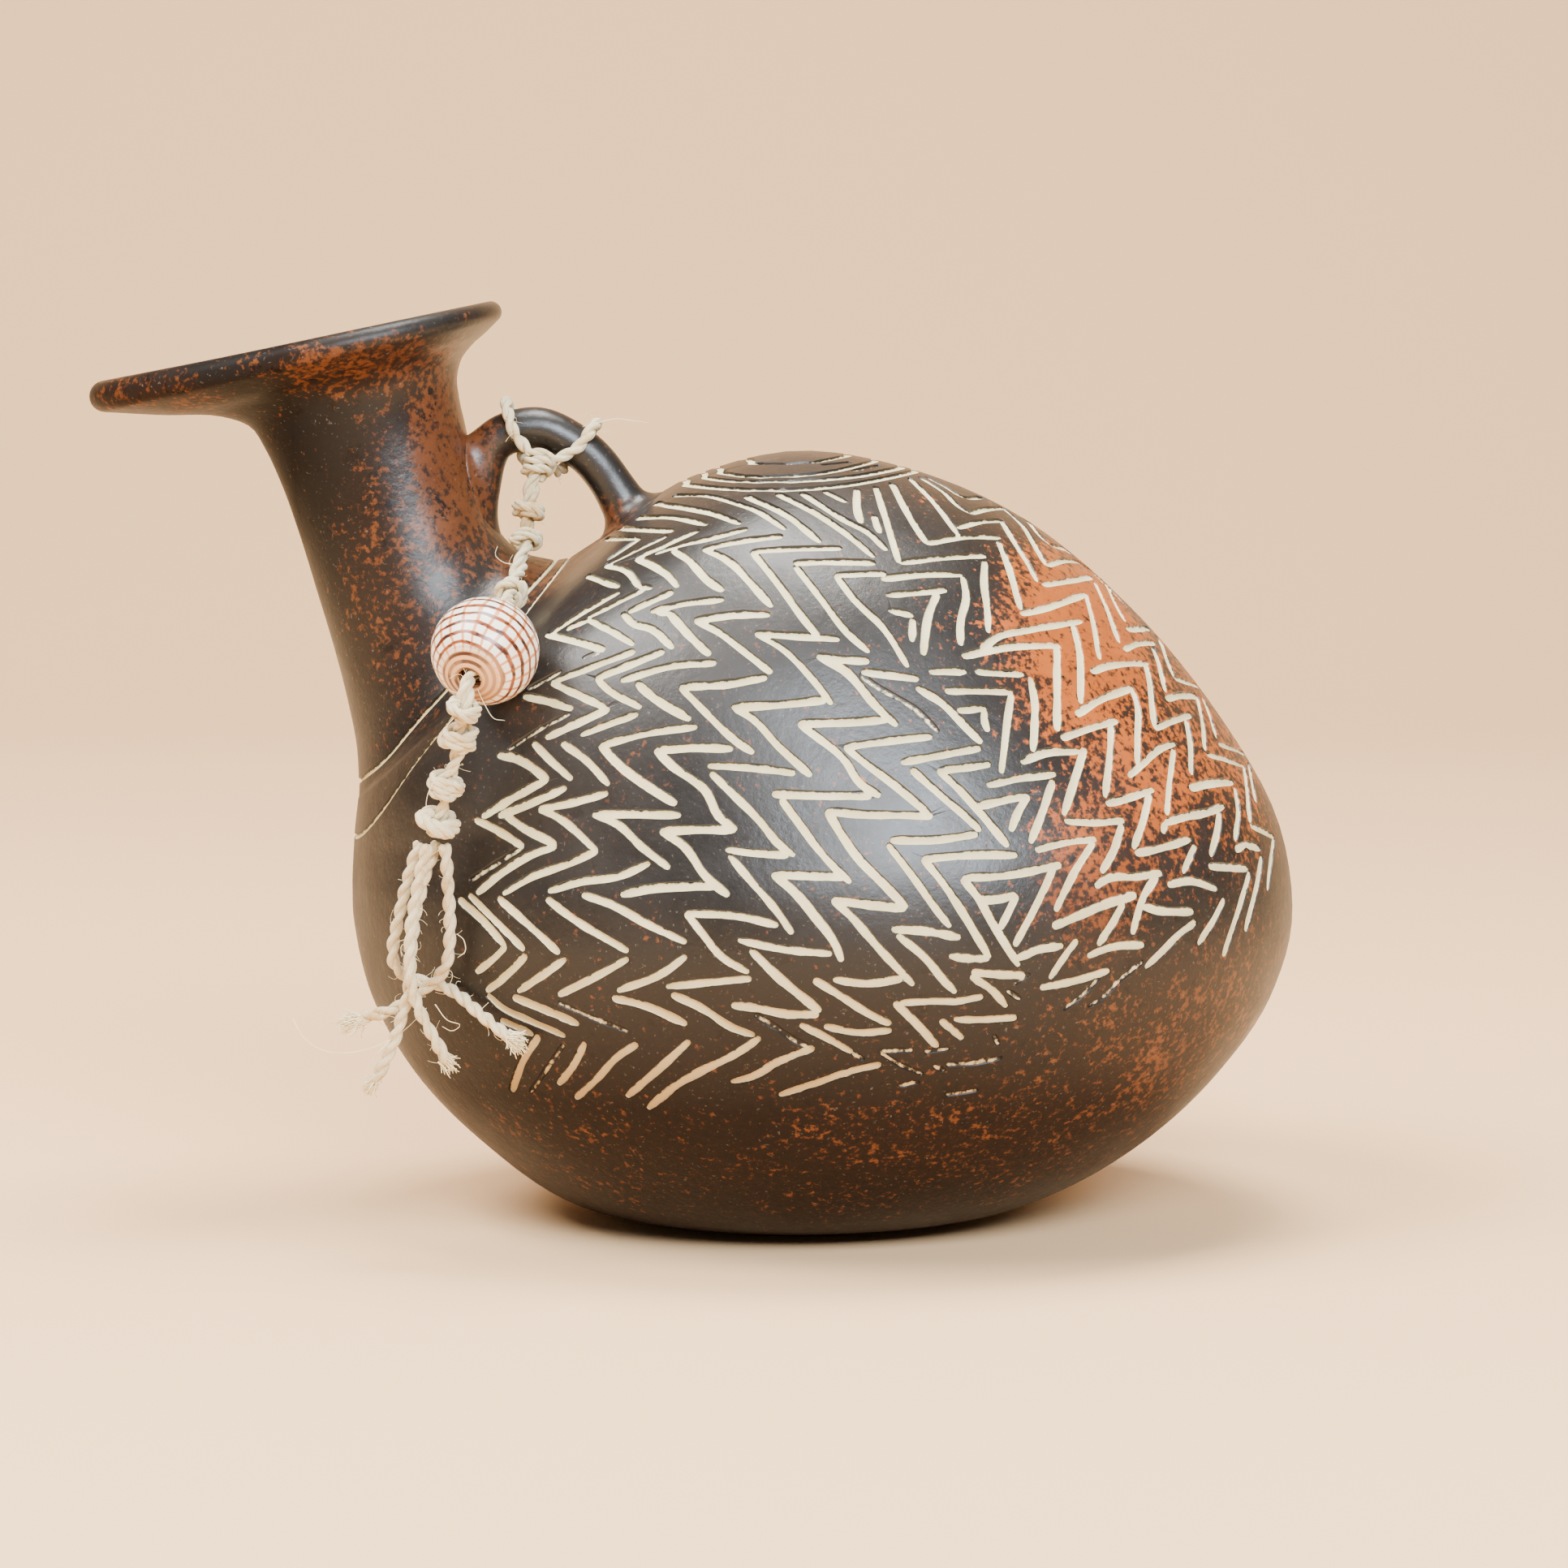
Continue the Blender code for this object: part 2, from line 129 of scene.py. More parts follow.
# The twine: two-ply natural fibre, pale and a little hairy. One doubled strand hangs from two turns round
# the handle, runs through the bead and is bound off into a tassel of four frayed lengths.
TWINE = 0.0023
STRAND = 0.0032
CORD_STEP = 0.0004
TWINE_LAY = 0.0066
STRAND_LAY = 0.0170
TWINE_IN_STRAND = 0.60
PLY_OFFSET = 0.215
PLY_RADIUS = 0.295
PLY_UNEVEN = 0.06
PLY_START = 1.7
PLY_TIP = 0.5
STRAND_SEED = 3
TASSEL_SEED = 11
ROUTE_FINENESS = 60
FIRST_ACROSS = (0.31, 0.87, 0.37)
UNEVEN_PLACES = 24
PLY_SIDES = 8

STRAND_ROUTE = (
    (-0.0476, -0.0066, 0.1425), (-0.0479, -0.0070, 0.1402), (-0.0490, -0.0085, 0.1363),
    (-0.0496, -0.0092, 0.1319), (-0.0498, -0.0121, 0.1268), (-0.0509, -0.0172, 0.1223),
    (-0.0520, -0.0270, 0.1181), (-0.0526, -0.0444, 0.1146), (-0.0540, -0.0495, 0.1118),
    (-0.0550, -0.0529, 0.1099), (-0.0560, -0.0563, 0.1080), (-0.0573, -0.0611, 0.1054),
    (-0.0578, -0.0626, 0.1035), (-0.0581, -0.0626, 0.1005), (-0.0591, -0.0606, 0.0955),
    (-0.0601, -0.0588, 0.0908), (-0.0618, -0.0575, 0.0869), (-0.0623, -0.0560, 0.0832),
    (-0.0632, -0.0550, 0.0800), (-0.0634, -0.0549, 0.0785),
)
BEAD_PLACE = 9

TASSEL_ROUTES = {
    "tassel_strand_outer": (
        (-0.0668, -0.0525, 0.0762), (-0.0684, -0.0517, 0.0715), (-0.0697, -0.0505, 0.0670),
        (-0.0709, -0.0495, 0.0618), (-0.0719, -0.0485, 0.0569), (-0.0717, -0.0478, 0.0538),
        (-0.0700, -0.0473, 0.0519), (-0.0673, -0.0471, 0.0509), (-0.0640, -0.0476, 0.0503),
        (-0.0606, -0.0500, 0.0490), (-0.0568, -0.0535, 0.0464), (-0.0509, -0.0580, 0.0424)),
    "tassel_strand_middle": (
        (-0.0650, -0.0558, 0.0762), (-0.0661, -0.0558, 0.0727), (-0.0670, -0.0557, 0.0684),
        (-0.0679, -0.0556, 0.0634), (-0.0684, -0.0556, 0.0584), (-0.0684, -0.0556, 0.0541),
        (-0.0679, -0.0556, 0.0505), (-0.0669, -0.0555, 0.0471), (-0.0654, -0.0550, 0.0439),
        (-0.0622, -0.0530, 0.0375)),
    "tassel_strand_inner": (
        (-0.0637, -0.0521, 0.0762), (-0.0649, -0.0524, 0.0730), (-0.0661, -0.0526, 0.0694),
        (-0.0672, -0.0527, 0.0652), (-0.0680, -0.0527, 0.0608), (-0.0685, -0.0527, 0.0558),
        (-0.0687, -0.0527, 0.0515), (-0.0694, -0.0525, 0.0477), (-0.0705, -0.0520, 0.0441),
        (-0.0717, -0.0510, 0.0406), (-0.0753, -0.0490, 0.0330)),
    "tassel_strand_right": (
        (-0.0622, -0.0555, 0.0762), (-0.0619, -0.0547, 0.0726), (-0.0617, -0.0541, 0.0682),
        (-0.0615, -0.0534, 0.0631), (-0.0616, -0.0527, 0.0587), (-0.0621, -0.0519, 0.0551),
        (-0.0634, -0.0509, 0.0525), (-0.0654, -0.0501, 0.0506), (-0.0676, -0.0498, 0.0488),
        (-0.0700, -0.0496, 0.0471), (-0.0727, -0.0492, 0.0458), (-0.0784, -0.0484, 0.0441)),
}


def smooth_at(rows, knots, places):
    """Catmull-Rom values of the rows, which sit at the knots, read at the places."""
    slopes = np.gradient(rows, knots, axis=0)
    index = np.clip(np.searchsorted(knots, places, side="right") - 1, 0, len(knots) - 2)
    width = knots[index + 1] - knots[index]
    share = ((places - knots[index]) / width)[:, None]
    width = width[:, None]
    start = (1 + 2 * share) * (1 - share) ** 2
    end = share ** 2 * (3 - 2 * share)
    return (start * rows[index] + end * rows[index + 1]
            + share * (1 - share) ** 2 * width * slopes[index]
            + share ** 2 * (share - 1) * width * slopes[index + 1])


def lengths_along(points):
    """How far along a line of points each one lies."""
    return np.concatenate(([0.0], np.cumsum(np.linalg.norm(np.diff(points, axis=0), axis=1))))


def even_route(rows, step):
    """Evenly spaced points on a smooth curve through a route."""
    rows = np.asarray(rows, dtype=float)
    knots = lengths_along(rows)
    fine = smooth_at(rows, knots, np.linspace(0, knots[-1], ROUTE_FINENESS * len(rows)))
    far = lengths_along(fine)
    places = np.linspace(0, far[-1], max(2, math.ceil(far[-1] / step)) + 1)
    return np.stack([np.interp(places, far, fine[:, axis]) for axis in range(3)], axis=1)


def unit(vectors):
    """Vectors brought to length one."""
    return vectors / np.linalg.norm(vectors, axis=-1, keepdims=True)


def carried_frames(path):
    """Two directions across a path at each point, carried along it without twisting."""
    forward = unit(np.gradient(path, axis=0))
    across = np.cross(forward[0], FIRST_ACROSS)
    sides = []
    for direction in forward:
        across = across - direction * np.dot(across, direction)
        across = across / np.linalg.norm(across)
        sides.append(across)
    sides = np.array(sides)
    return sides, np.cross(forward, sides)


def wound_path(path, radius, lay, phase):
    """A path wound round another one like one ply of a cord."""
    first, second = carried_frames(path)
    turn = (2 * math.pi * lengths_along(path) / lay + phase)[:, None]
    return path + np.reshape(radius, (-1, 1)) * (np.cos(turn) * first + np.sin(turn) * second)


class TubeBuilder:
    """Collects closed tubes, with a UV map: turns round the tube, and distance along it in millimetres."""

    def __init__(self):
        self.points, self.faces, self.uvs = [], [], []

    def tube(self, path, radii, sides, shift=0.0):
        """One closed tube along a path, its fibres' pattern shifted round it."""
        first, second = carried_frames(path)
        base = len(self.points)
        far = lengths_along(path) * 1000
        radii = np.broadcast_to(radii, len(path))
        for side in range(sides):
            turn = 2 * math.pi * side / sides
            self.points.extend(path + radii[:, None] * (math.cos(turn) * first + math.sin(turn) * second))
        count = len(path)
        for side in range(sides):
            after = (side + 1) % sides
            low, high = base + side * count, base + after * count
            for row in range(count - 1):
                self.faces.append((low + row, high + row, high + row + 1, low + row + 1))
                near, next_one = shift + side / sides, shift + (side + 1) / sides
                self.uvs.extend(((near, far[row]), (next_one, far[row]),
                                 (next_one, far[row + 1]), (near, far[row + 1])))
        self.faces.append([base + side * count for side in reversed(range(sides))])
        self.uvs.extend([(shift, far[0])] * sides)
        self.faces.append([base + side * count + count - 1 for side in range(sides)])
        self.uvs.extend([(shift, far[-1])] * sides)

    def ply_cord(self, path, diameter, lay, seed, strands=1):
        """Two-ply twine along a path, or several such twines laid loosely round each other."""
        chance = np.random.default_rng(seed)
        for strand in range(strands):
            centre, size = path, diameter
            if strands > 1:
                size = diameter * TWINE_IN_STRAND
                centre = wound_path(path, (diameter - size) / 2, STRAND_LAY,
                                    2 * math.pi * strand / strands + seed)
            reach = lengths_along(centre)
            swell = 1 + PLY_UNEVEN * np.interp(reach, np.linspace(0, reach[-1], UNEVEN_PLACES),
                                               chance.uniform(-1, 1, UNEVEN_PLACES))
            for ply in range(2):
                offset = size * PLY_OFFSET * swell
                ply_path = wound_path(centre, offset, lay, math.pi * ply + seed * PLY_START)
                radii = size * PLY_RADIUS * swell
                radii[[0, -1]] *= PLY_TIP
                self.tube(ply_path, radii, PLY_SIDES, chance.uniform(0, 5))

    def finish(self, name, material):
        """All the tubes so far as one piece."""
        piece = new_piece(name, self.points, self.faces, material)
        layer = piece.data.uv_layers.new(name="along_fibre")
        layer.data.foreach_set("uv", np.array(self.uvs, dtype=np.float32).ravel())
        return piece


def add_node(tree, kind, inputs=None, **settings):
    """Add a node to a tree; an input's value may be another node's output."""
    node = tree.nodes.new(kind)
    for key, value in settings.items():
        setattr(node, key, value)
    for key, value in (inputs or {}).items():
        if isinstance(value, bpy.types.NodeSocket):
            tree.links.new(value, node.inputs[key])
        else:
            node.inputs[key].default_value = value
    return node


def shade(tree, kind, inputs=None, **settings):
    """Add a shader node."""
    return add_node(tree, "ShaderNode" + kind, inputs, **settings)


def noise(tree, where, scale, detail=2.0, roughness=0.5):
    """Noise over a position."""
    return shade(tree, "TexNoise", {"Vector": where, "Scale": scale, "Detail": detail,
                                    "Roughness": roughness}).outputs["Fac"]


def calc(tree, kind, *values):
    """One sum on shader values."""
    return shade(tree, "Math", dict(enumerate(values)), operation=kind).outputs[0]


def fade(tree, value, low, high, start=0.0, end=1.0, ease="LINEAR"):
    """A value that goes from start to end as another goes from low to high."""
    return shade(tree, "MapRange", {"Value": value, "From Min": low, "From Max": high, "To Min": start,
                                    "To Max": end}, interpolation_type=ease).outputs["Result"]


def bumps(tree, height, depth, strength, **under):
    """A surface roughened by a height, over another normal where one is given."""
    return shade(tree, "Bump", {"Height": height, "Distance": depth, "Strength": strength,
                                **under}).outputs[0]


def group_inputs(tree, rows):
    """A node group's named inputs, each with its kind and the value it starts with."""
    for label, kind, start in rows:
        socket = tree.interface.new_socket(name=label, in_out="INPUT", socket_type="NodeSocket" + kind)
        if start is not None:
            socket.default_value = start


def srgb(red, green, blue):
    """A colour read from a picture, 0 to 255, as the shader's linear values."""
    return tuple((c / 255 / 12.92 if c <= 10 else ((c / 255 + 0.055) / 1.055) ** 2.4)
                 for c in (red, green, blue)) + (1.0,)


# Soil is a soft stain that the twine, the bead and the clay all share, as a mask
soil = bpy.data.node_groups.new("soil_stain", "ShaderNodeTree")
group_inputs(soil, (("Position", "Vector", None), ("Scale", "Float", 60.0), ("Amount", "Float", 0.5),
                    ("Softness", "Float", 0.15)))
soil.interface.new_socket(name="Mask", in_out="OUTPUT", socket_type="NodeSocketFloat")
soil_in, soil_out = soil.nodes.new("NodeGroupInput").outputs, soil.nodes.new("NodeGroupOutput")
soil_noise = noise(soil, soil_in["Position"], soil_in["Scale"], 7.0, 0.68)
soil_low = calc(soil, "SUBTRACT", 0.78, soil_in["Amount"])
soil_high = calc(soil, "ADD", soil_low, soil_in["Softness"])
soil_mask = fade(soil, soil_noise, soil_low, soil_high, ease="SMOOTHSTEP")
soil.links.new(soil_mask, soil_out.inputs["Mask"])


def soil_on(tree, position, scale, amount, softness):
    """The soil stain placed in a material, with its own scale and amount."""
    return shade(tree, "Group", {"Position": position, "Scale": scale, "Amount": amount,
                                 "Softness": softness}, node_tree=soil).outputs["Mask"]


def blend_colours(tree, factor, first, second):
    """Mix two colours by a mask; each may be a plain colour or another node's output."""
    return shade(tree, "Mix", {0: factor, 6: first, 7: second}, data_type="RGBA").outputs[2]


# Twine: streaks run along each ply, with a few tan lengths; the colour darkens where the streaks' bump dips
# between fibres, partly the flax's own tone and partly painted shade in the dips
flax, tree, shader = new_material("flax_twine", Roughness=0.88, Sheen_Weight=0.25, Sheen_Roughness=0.6,
                                  Specular_IOR_Level=0.25)
ply_map = shade(tree, "UVMap", uv_map="along_fibre")
streak_map = shade(tree, "Mapping", {"Vector": ply_map.outputs[0], "Scale": (9.0, 0.55, 1.0)})
streaks = noise(tree, streak_map.outputs[0], 1.6, 5.0, 0.6)
where = shade(tree, "TexCoord").outputs["Object"]
# The streaks' dark end falls in the bump's dips: painted shade between the fibres, over the flax's own tone
pale = blend_colours(tree, streaks, srgb(182, 148, 92), srgb(255, 246, 208))
tan = blend_colours(tree, soil_on(tree, where, 150.0, 0.30, 0.22), pale, srgb(192, 156, 100))
tree.links.new(tan, shader.inputs["Base Color"])
tree.links.new(bumps(tree, streaks, 0.00034, 1.0), shader.inputs["Normal"])

# Single fibres are too fine to show streaks: plain pale flax, a little darker here and there
fibre_flax, tree, shader = new_material("flax_fibre", Roughness=0.8, Specular_IOR_Level=0.2)
tone = noise(tree, shade(tree, "TexCoord").outputs["Object"], 400.0)
plain = blend_colours(tree, tone, srgb(218, 190, 134), srgb(255, 247, 214))
tree.links.new(plain, shader.inputs["Base Color"])

cords = {}


def make_cord(name, route, diameter, strands, seed):
    """One length of twine as a mesh, kept with the centre line that it follows."""
    path = even_route(route, CORD_STEP)
    builder = TubeBuilder()
    builder.ply_cord(path, diameter, TWINE_LAY, seed, strands)
    cords[name] = (builder.finish(name + "_laid", flax), path)


make_cord("twine_strand", STRAND_ROUTE, STRAND, 2, STRAND_SEED)
for seed, (name, route) in enumerate(TASSEL_ROUTES.items()):
    make_cord(name, route, TWINE, 1, TASSEL_SEED + seed)


# The knots: the same twine wound two or three times round the strand and crossed over itself,
# its ends tucked under the turns. Each knot: its name, its place on the route, its length, its diameter
# and its turns.
KNOTS = (
    ("knot_top", 1, 0.0062, 0.0062, 3.0),
    ("knot_upper", 3, 0.0040, 0.0064, 2.0),
    ("knot_middle", 4, 0.0036, 0.0060, 2.0),
    ("knot_collar", 6, 0.0036, 0.0060, 2.0),
    ("knot_under_bead", 13, 0.0042, 0.0062, 2.0),
    ("knot_lower", 14, 0.0054, 0.0066, 2.5),
    ("knot_long", 16, 0.0050, 0.0066, 2.5),
    ("knot_binding", 18, 0.0042, 0.0078, 2.0),
)
KNOT_THINNEST = 0.0016
KNOT_FULLNESS = 1.12
KNOT_POINTS = 40
KNOT_SHORTEST = 0.8
KNOT_ASIDE = (0.2, 0.9, -0.3)
KNOT_START = 2.1
KNOT_TUCK = 0.45
KNOT_TUCK_SHARE = 0.09
CROSSING_START = 4.4
CROSSING_TURN = 2.5
CROSSING_REACH = 0.9
CROSSING_LIFT = 0.22


def wrapped_knot(name, place, length, diameter, turns, seed):
    """One knot: turns wound up the strand and a short crossing back over them."""
    route = np.array(STRAND_ROUTE)
    centre = route[place]
    aim = unit(route[place + 1] - route[place - 1])
    first = unit(np.cross(aim, KNOT_ASIDE))
    second = np.cross(aim, first)
    size = max(KNOT_THINNEST, (diameter - STRAND) / 2 * KNOT_FULLNESS)
    middle = diameter / 2 - size / 2
    reach = max(length - size, size * KNOT_SHORTEST) / 2
    builder = TubeBuilder()
    share = np.linspace(0, 1, KNOT_POINTS)
    tuck = KNOT_TUCK + (1 - KNOT_TUCK) * np.clip(np.minimum(share, 1 - share) / KNOT_TUCK_SHARE, 0, 1)
    winding = (seed * KNOT_START, turns * 2 * math.pi, -reach, reach, 0.0)
    crossing = (seed * KNOT_START + CROSSING_START, CROSSING_TURN, reach * CROSSING_REACH,
                -reach * CROSSING_REACH, size * CROSSING_LIFT)
    for start, turned, low, high, lift in (winding, crossing):
        angle = start + turned * share
        radius = (middle + lift) * tuck
        path = (centre + aim * (low + (high - low) * share)[:, None]
                + radius[:, None] * (np.cos(angle)[:, None] * first + np.sin(angle)[:, None] * second))
        builder.ply_cord(even_route(path, CORD_STEP), size, TWINE_LAY, seed)
    knot = builder.finish(name + "_turns", flax)
    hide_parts(name)
    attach(knot, "root")
    return knot


knots = {name: wrapped_knot(name, place, length, diameter, turns, seed)
         for seed, (name, place, length, diameter, turns) in enumerate(KNOTS)}


# The handle's turns: two lengths of the same twine. Each leaves the top knot, passes once round the clay
# bar and comes back through the handle's hole into the knot, which holds both fast. Each turn: its name,
# its place along the bar, and the ways it leaves and comes back to the knot.
HANDLE_BAR = 0.0078
HANDLE_STEP = 0.0042
HANDLE_REACH = 0.0290
HANDLE_RISE = 0.0222
HANDLE_FORWARD = 0.0142
HANDLE_LIFT = 0.0021
HANDLE_FOOT_FLARE = 1.45
HANDLE_FOOT_START = 0.78
HANDLE_SHAPE = ((-0.050, 0.20), (-0.028, 0.47), (0.085, 0.90), (0.345, 1.00), (0.61, 0.84), (1.00, 0.17))
SADDLE = (-0.0442576, 0.1224075)
TURN_CLEARANCE = 0.00045
TURN_TUCK = 0.0009
TURN_SEED = 21
TURN_DEGREES = (5, 48, 90, 132, 175, 218, 255)
TWINE_TURNS = (
    ("twine_turn_left", 0.40, (-0.50, -0.20, 0.84), (-0.50, 0.84, 0.20)),
    ("twine_turn_right", 0.65, (0.95, -0.25, 0.20), (0.60, 0.78, -0.15)),
)
handle_rows = np.array([(SADDLE[0] - HANDLE_FORWARD + HANDLE_REACH * across, 0.0,
                         SADDLE[1] + HANDLE_LIFT + HANDLE_RISE * up) for across, up in HANDLE_SHAPE])
handle_knots = lengths_along(handle_rows)
handle_places = [0.0]
for start, end in zip(handle_knots, handle_knots[1:]):
    count = max(1, math.ceil((end - start) / HANDLE_STEP))
    handle_places += [start + (end - start) * index / count for index in range(1, count + 1)]
handle_line = smooth_at(handle_rows, handle_knots, np.array(handle_places))

for seed, (name, share, leave, arrive) in enumerate(TWINE_TURNS):
    place = round(share * (len(handle_line) - 1))
    forward = unit(handle_line[place + 1] - handle_line[place - 1])
    outward = np.cross((0, -1, 0), forward)
    knot_centre = np.array(STRAND_ROUTE[KNOTS[0][1]])
    reach = KNOTS[0][3] / 2 - TURN_TUCK
    radius = HANDLE_BAR / 2 + TWINE / 2 + TURN_CLEARANCE
    route = [knot_centre + unit(np.array(leave)) * reach]
    for degrees in TURN_DEGREES:
        turn = math.radians(degrees)
        aside = np.array((0, -math.cos(turn), 0))
        route.append(handle_line[place] + radius * (math.sin(turn) * outward + aside))
    route.append(knot_centre + unit(np.array(arrive)) * reach)
    make_cord(name, route, TWINE, 1, TURN_SEED + seed)


# The frayed ends: each tassel length comes apart into loose fibres of the flax it is spun from, with stray
# hairs along all the twine. Each fray: its cord, its aim, its length, its number of fibres and its spread.
FRAYS = (
    ("tassel_strand_outer", (0.86, -0.35, -0.58), 0.0040, 120, 0.36),
    ("tassel_strand_middle", (0.62, 0.10, -0.80), 0.0026, 90, 0.28),
    ("tassel_strand_inner", (-0.55, 0.10, -0.80), 0.0032, 100, 0.32),
    ("tassel_strand_right", (-0.98, 0.05, -0.30), 0.0042, 120, 0.44),
)
FIBRE = 0.00018
HAIR_DENSITY = 75000.0
HAIR_LENGTH = 0.0022
HAIR = 0.00005
HAIR_SEED = 40
FIBRE_POINTS = 7
FIBRE_CURL = 0.16
FIBRE_TIP = 0.45
FRAY_ROOTS = 5
FRAY_WIDTH = 0.17
FRAY_LEAN = 0.55
FRAY_LENGTHS = (0.5, 1.05)
LOOSE_FIBRE = 0.00010
LOOSE_STEP = 0.0006


def fibre(builder, start, aim, length, chance):
    """One loose fibre that leaves along aim and curls as it goes."""
    path = [np.array(start)]
    heading = unit(np.array(aim, dtype=float))
    for _ in range(FIBRE_POINTS - 1):
        heading = unit(heading + chance.normal(0, FIBRE_CURL, 3))
        path.append(path[-1] + heading * length / (FIBRE_POINTS - 1))
    builder.tube(np.array(path), np.linspace(FIBRE, FIBRE * FIBRE_TIP, FIBRE_POINTS), 3, chance.uniform(0, 5))


# Longer fibres that have worked loose: the cord each belongs to, and the places it passes
LOOSE_FIBRES = (
    ("tassel_strand_outer",
     ((-0.0898, -0.0480, 0.0442), (-0.0878, -0.0490, 0.0410), (-0.0842, -0.0500, 0.0388),
      (-0.0799, -0.0505, 0.0385), (-0.0755, -0.0510, 0.0395), (-0.0700, -0.0510, 0.0425),
      (-0.0659, -0.0505, 0.0465))),
    ("tassel_strand_right",
     ((-0.0602, -0.0540, 0.0602), (-0.0588, -0.0560, 0.0592), (-0.0586, -0.0565, 0.0575),
      (-0.0600, -0.0560, 0.0563))),
    ("tassel_strand_middle",
     ((-0.0640, -0.0560, 0.0480), (-0.0617, -0.0565, 0.0452), (-0.0596, -0.0560, 0.0443),
      (-0.0610, -0.0560, 0.0433), (-0.0628, -0.0555, 0.0440))),
    ("tassel_strand_inner",
     ((-0.0712, -0.0515, 0.0420), (-0.0745, -0.0515, 0.0385), (-0.0768, -0.0505, 0.0345),
      (-0.0772, -0.0495, 0.0310), (-0.0755, -0.0490, 0.0300))),
    ("twine_strand",
     ((-0.0560, -0.0600, 0.1040), (-0.0545, -0.0620, 0.1012), (-0.0530, -0.0625, 0.0990),
      (-0.0512, -0.0610, 0.0985))),
    ("twine_strand",
     ((-0.0575, -0.0628, 0.1010), (-0.0600, -0.0640, 0.0990), (-0.0615, -0.0640, 0.0968),
      (-0.0608, -0.0630, 0.0945))),
    ("twine_strand",
     ((-0.0600, -0.0590, 0.0900), (-0.0630, -0.0610, 0.0885), (-0.0648, -0.0605, 0.0850),
      (-0.0650, -0.0600, 0.0820))),
    ("twine_strand",
     ((-0.0515, -0.0160, 0.1225), (-0.0540, -0.0175, 0.1232), (-0.0552, -0.0180, 0.1245),
      (-0.0548, -0.0178, 0.1260))),
    ("twine_turn_right",
     ((-0.0375, -0.0010, 0.1476), (-0.0340, 0.0000, 0.1484), (-0.0305, 0.0005, 0.1480),
      (-0.0278, 0.0008, 0.1476))),
)
fray_chance = np.random.default_rng(4)
frays = {}
for name, aim, length, count, spread in FRAYS:
    builder = TubeBuilder()
    path = cords[name][1]
    for _ in range(count):
        root = path[-1 - int(fray_chance.integers(0, FRAY_ROOTS))]
        root = root + fray_chance.normal(0, TWINE * FRAY_WIDTH, 3)
        heading = unit(np.array(aim)) + fray_chance.normal(0, spread * FRAY_LEAN, 3)
        fibre(builder, root, heading, length * fray_chance.uniform(*FRAY_LENGTHS), fray_chance)
    frays[name] = [builder.finish(name + "_fray", fibre_flax)]
for number, (name, places) in enumerate(LOOSE_FIBRES):
    builder = TubeBuilder()
    path = even_route(places, LOOSE_STEP)
    builder.tube(path, np.linspace(LOOSE_FIBRE, LOOSE_FIBRE / 2, len(path)), 4)
    frays.setdefault(name, []).append(builder.finish("loose_fibre_" + str(number + 1), fibre_flax))

hairs = bpy.data.node_groups.new("stray_hairs", "GeometryNodeTree")
group_inputs(hairs, (("Geometry", "Geometry", None), ("Density", "Float", HAIR_DENSITY),
                     ("Length", "Float", HAIR_LENGTH), ("Thickness", "Float", HAIR), ("Seed", "Int", 5),
                     ("Material", "Material", None)))
hairs.interface.new_socket(name="Geometry", in_out="OUTPUT", socket_type="NodeSocketGeometry")
given = hairs.nodes.new("NodeGroupInput").outputs
result = hairs.nodes.new("NodeGroupOutput")
roots = add_node(hairs, "GeometryNodeDistributePointsOnFaces",
                 {"Mesh": given["Geometry"], "Density": given["Density"], "Seed": given["Seed"]})
bow = add_node(hairs, "GeometryNodeCurvePrimitiveBezierSegment",
               {"Resolution": 5, "Start": (0.0, 0.0, -0.06), "Start Handle": (0.0, 0.0, 0.45),
                "End Handle": (0.35, 0.10, 0.62), "End": (0.95, 0.22, 0.42)})
sized = add_node(hairs, "GeometryNodeTransform", {"Geometry": bow.outputs[0]})
full_size = add_node(hairs, "ShaderNodeCombineXYZ", {axis: given["Length"] for axis in "XYZ"})
hairs.links.new(full_size.outputs[0], sized.inputs["Scale"])
ring = add_node(hairs, "GeometryNodeCurvePrimitiveCircle", {"Resolution": 3, "Radius": given["Thickness"]})
hair = add_node(hairs, "GeometryNodeCurveToMesh",
                {"Curve": sized.outputs[0], "Profile Curve": ring.outputs[0], "Fill Caps": True})
sizes = add_node(hairs, "FunctionNodeRandomValue",
                 {"Min": (0.35, 0.35, 0.35), "Max": (1.25, 1.25, 1.25), "Seed": given["Seed"]},
                 data_type="FLOAT_VECTOR")
planted = add_node(hairs, "GeometryNodeInstanceOnPoints",
                   {"Points": roots.outputs["Points"], "Instance": hair.outputs[0],
                    "Rotation": roots.outputs["Rotation"], "Scale": sizes.outputs[0]})
leans = add_node(hairs, "FunctionNodeRandomValue",
                 {"Min": (-0.7, -0.7, 0.0), "Max": (0.7, 0.7, 6.28), "Seed": given["Seed"]},
                 data_type="FLOAT_VECTOR")
turned = add_node(hairs, "GeometryNodeRotateInstances",
                  {"Instances": planted.outputs[0], "Rotation": leans.outputs[0]})
real = add_node(hairs, "GeometryNodeRealizeInstances", {"Geometry": turned.outputs[0]})
coloured = add_node(hairs, "GeometryNodeSetMaterial",
                    {"Geometry": real.outputs[0], "Material": given["Material"]})
hairs.links.new(coloured.outputs[0], result.inputs["Geometry"])


def stray_hairs(name, source, seed):
    """Stray hairs grown over a piece of twine, as a plain mesh of their own."""
    holder = bpy.data.objects.new(name + "_source", source.data.copy())
    bpy.context.collection.objects.link(holder)
    growth = holder.modifiers.new("stray_hairs", "NODES")
    growth.node_group = hairs
    keys = {item.name: item.identifier for item in hairs.interface.items_tree
            if item.item_type == "SOCKET" and item.in_out == "INPUT"}
    growth[keys["Seed"]] = seed
    growth[keys["Material"]] = fibre_flax
    grown = bpy.data.meshes.new_from_object(holder.evaluated_get(bpy.context.evaluated_depsgraph_get()))
    bpy.data.objects.remove(holder, do_unlink=True)
    grown.name = name
    piece = bpy.data.objects.new(name, grown)
    bpy.context.collection.objects.link(piece)
    return piece


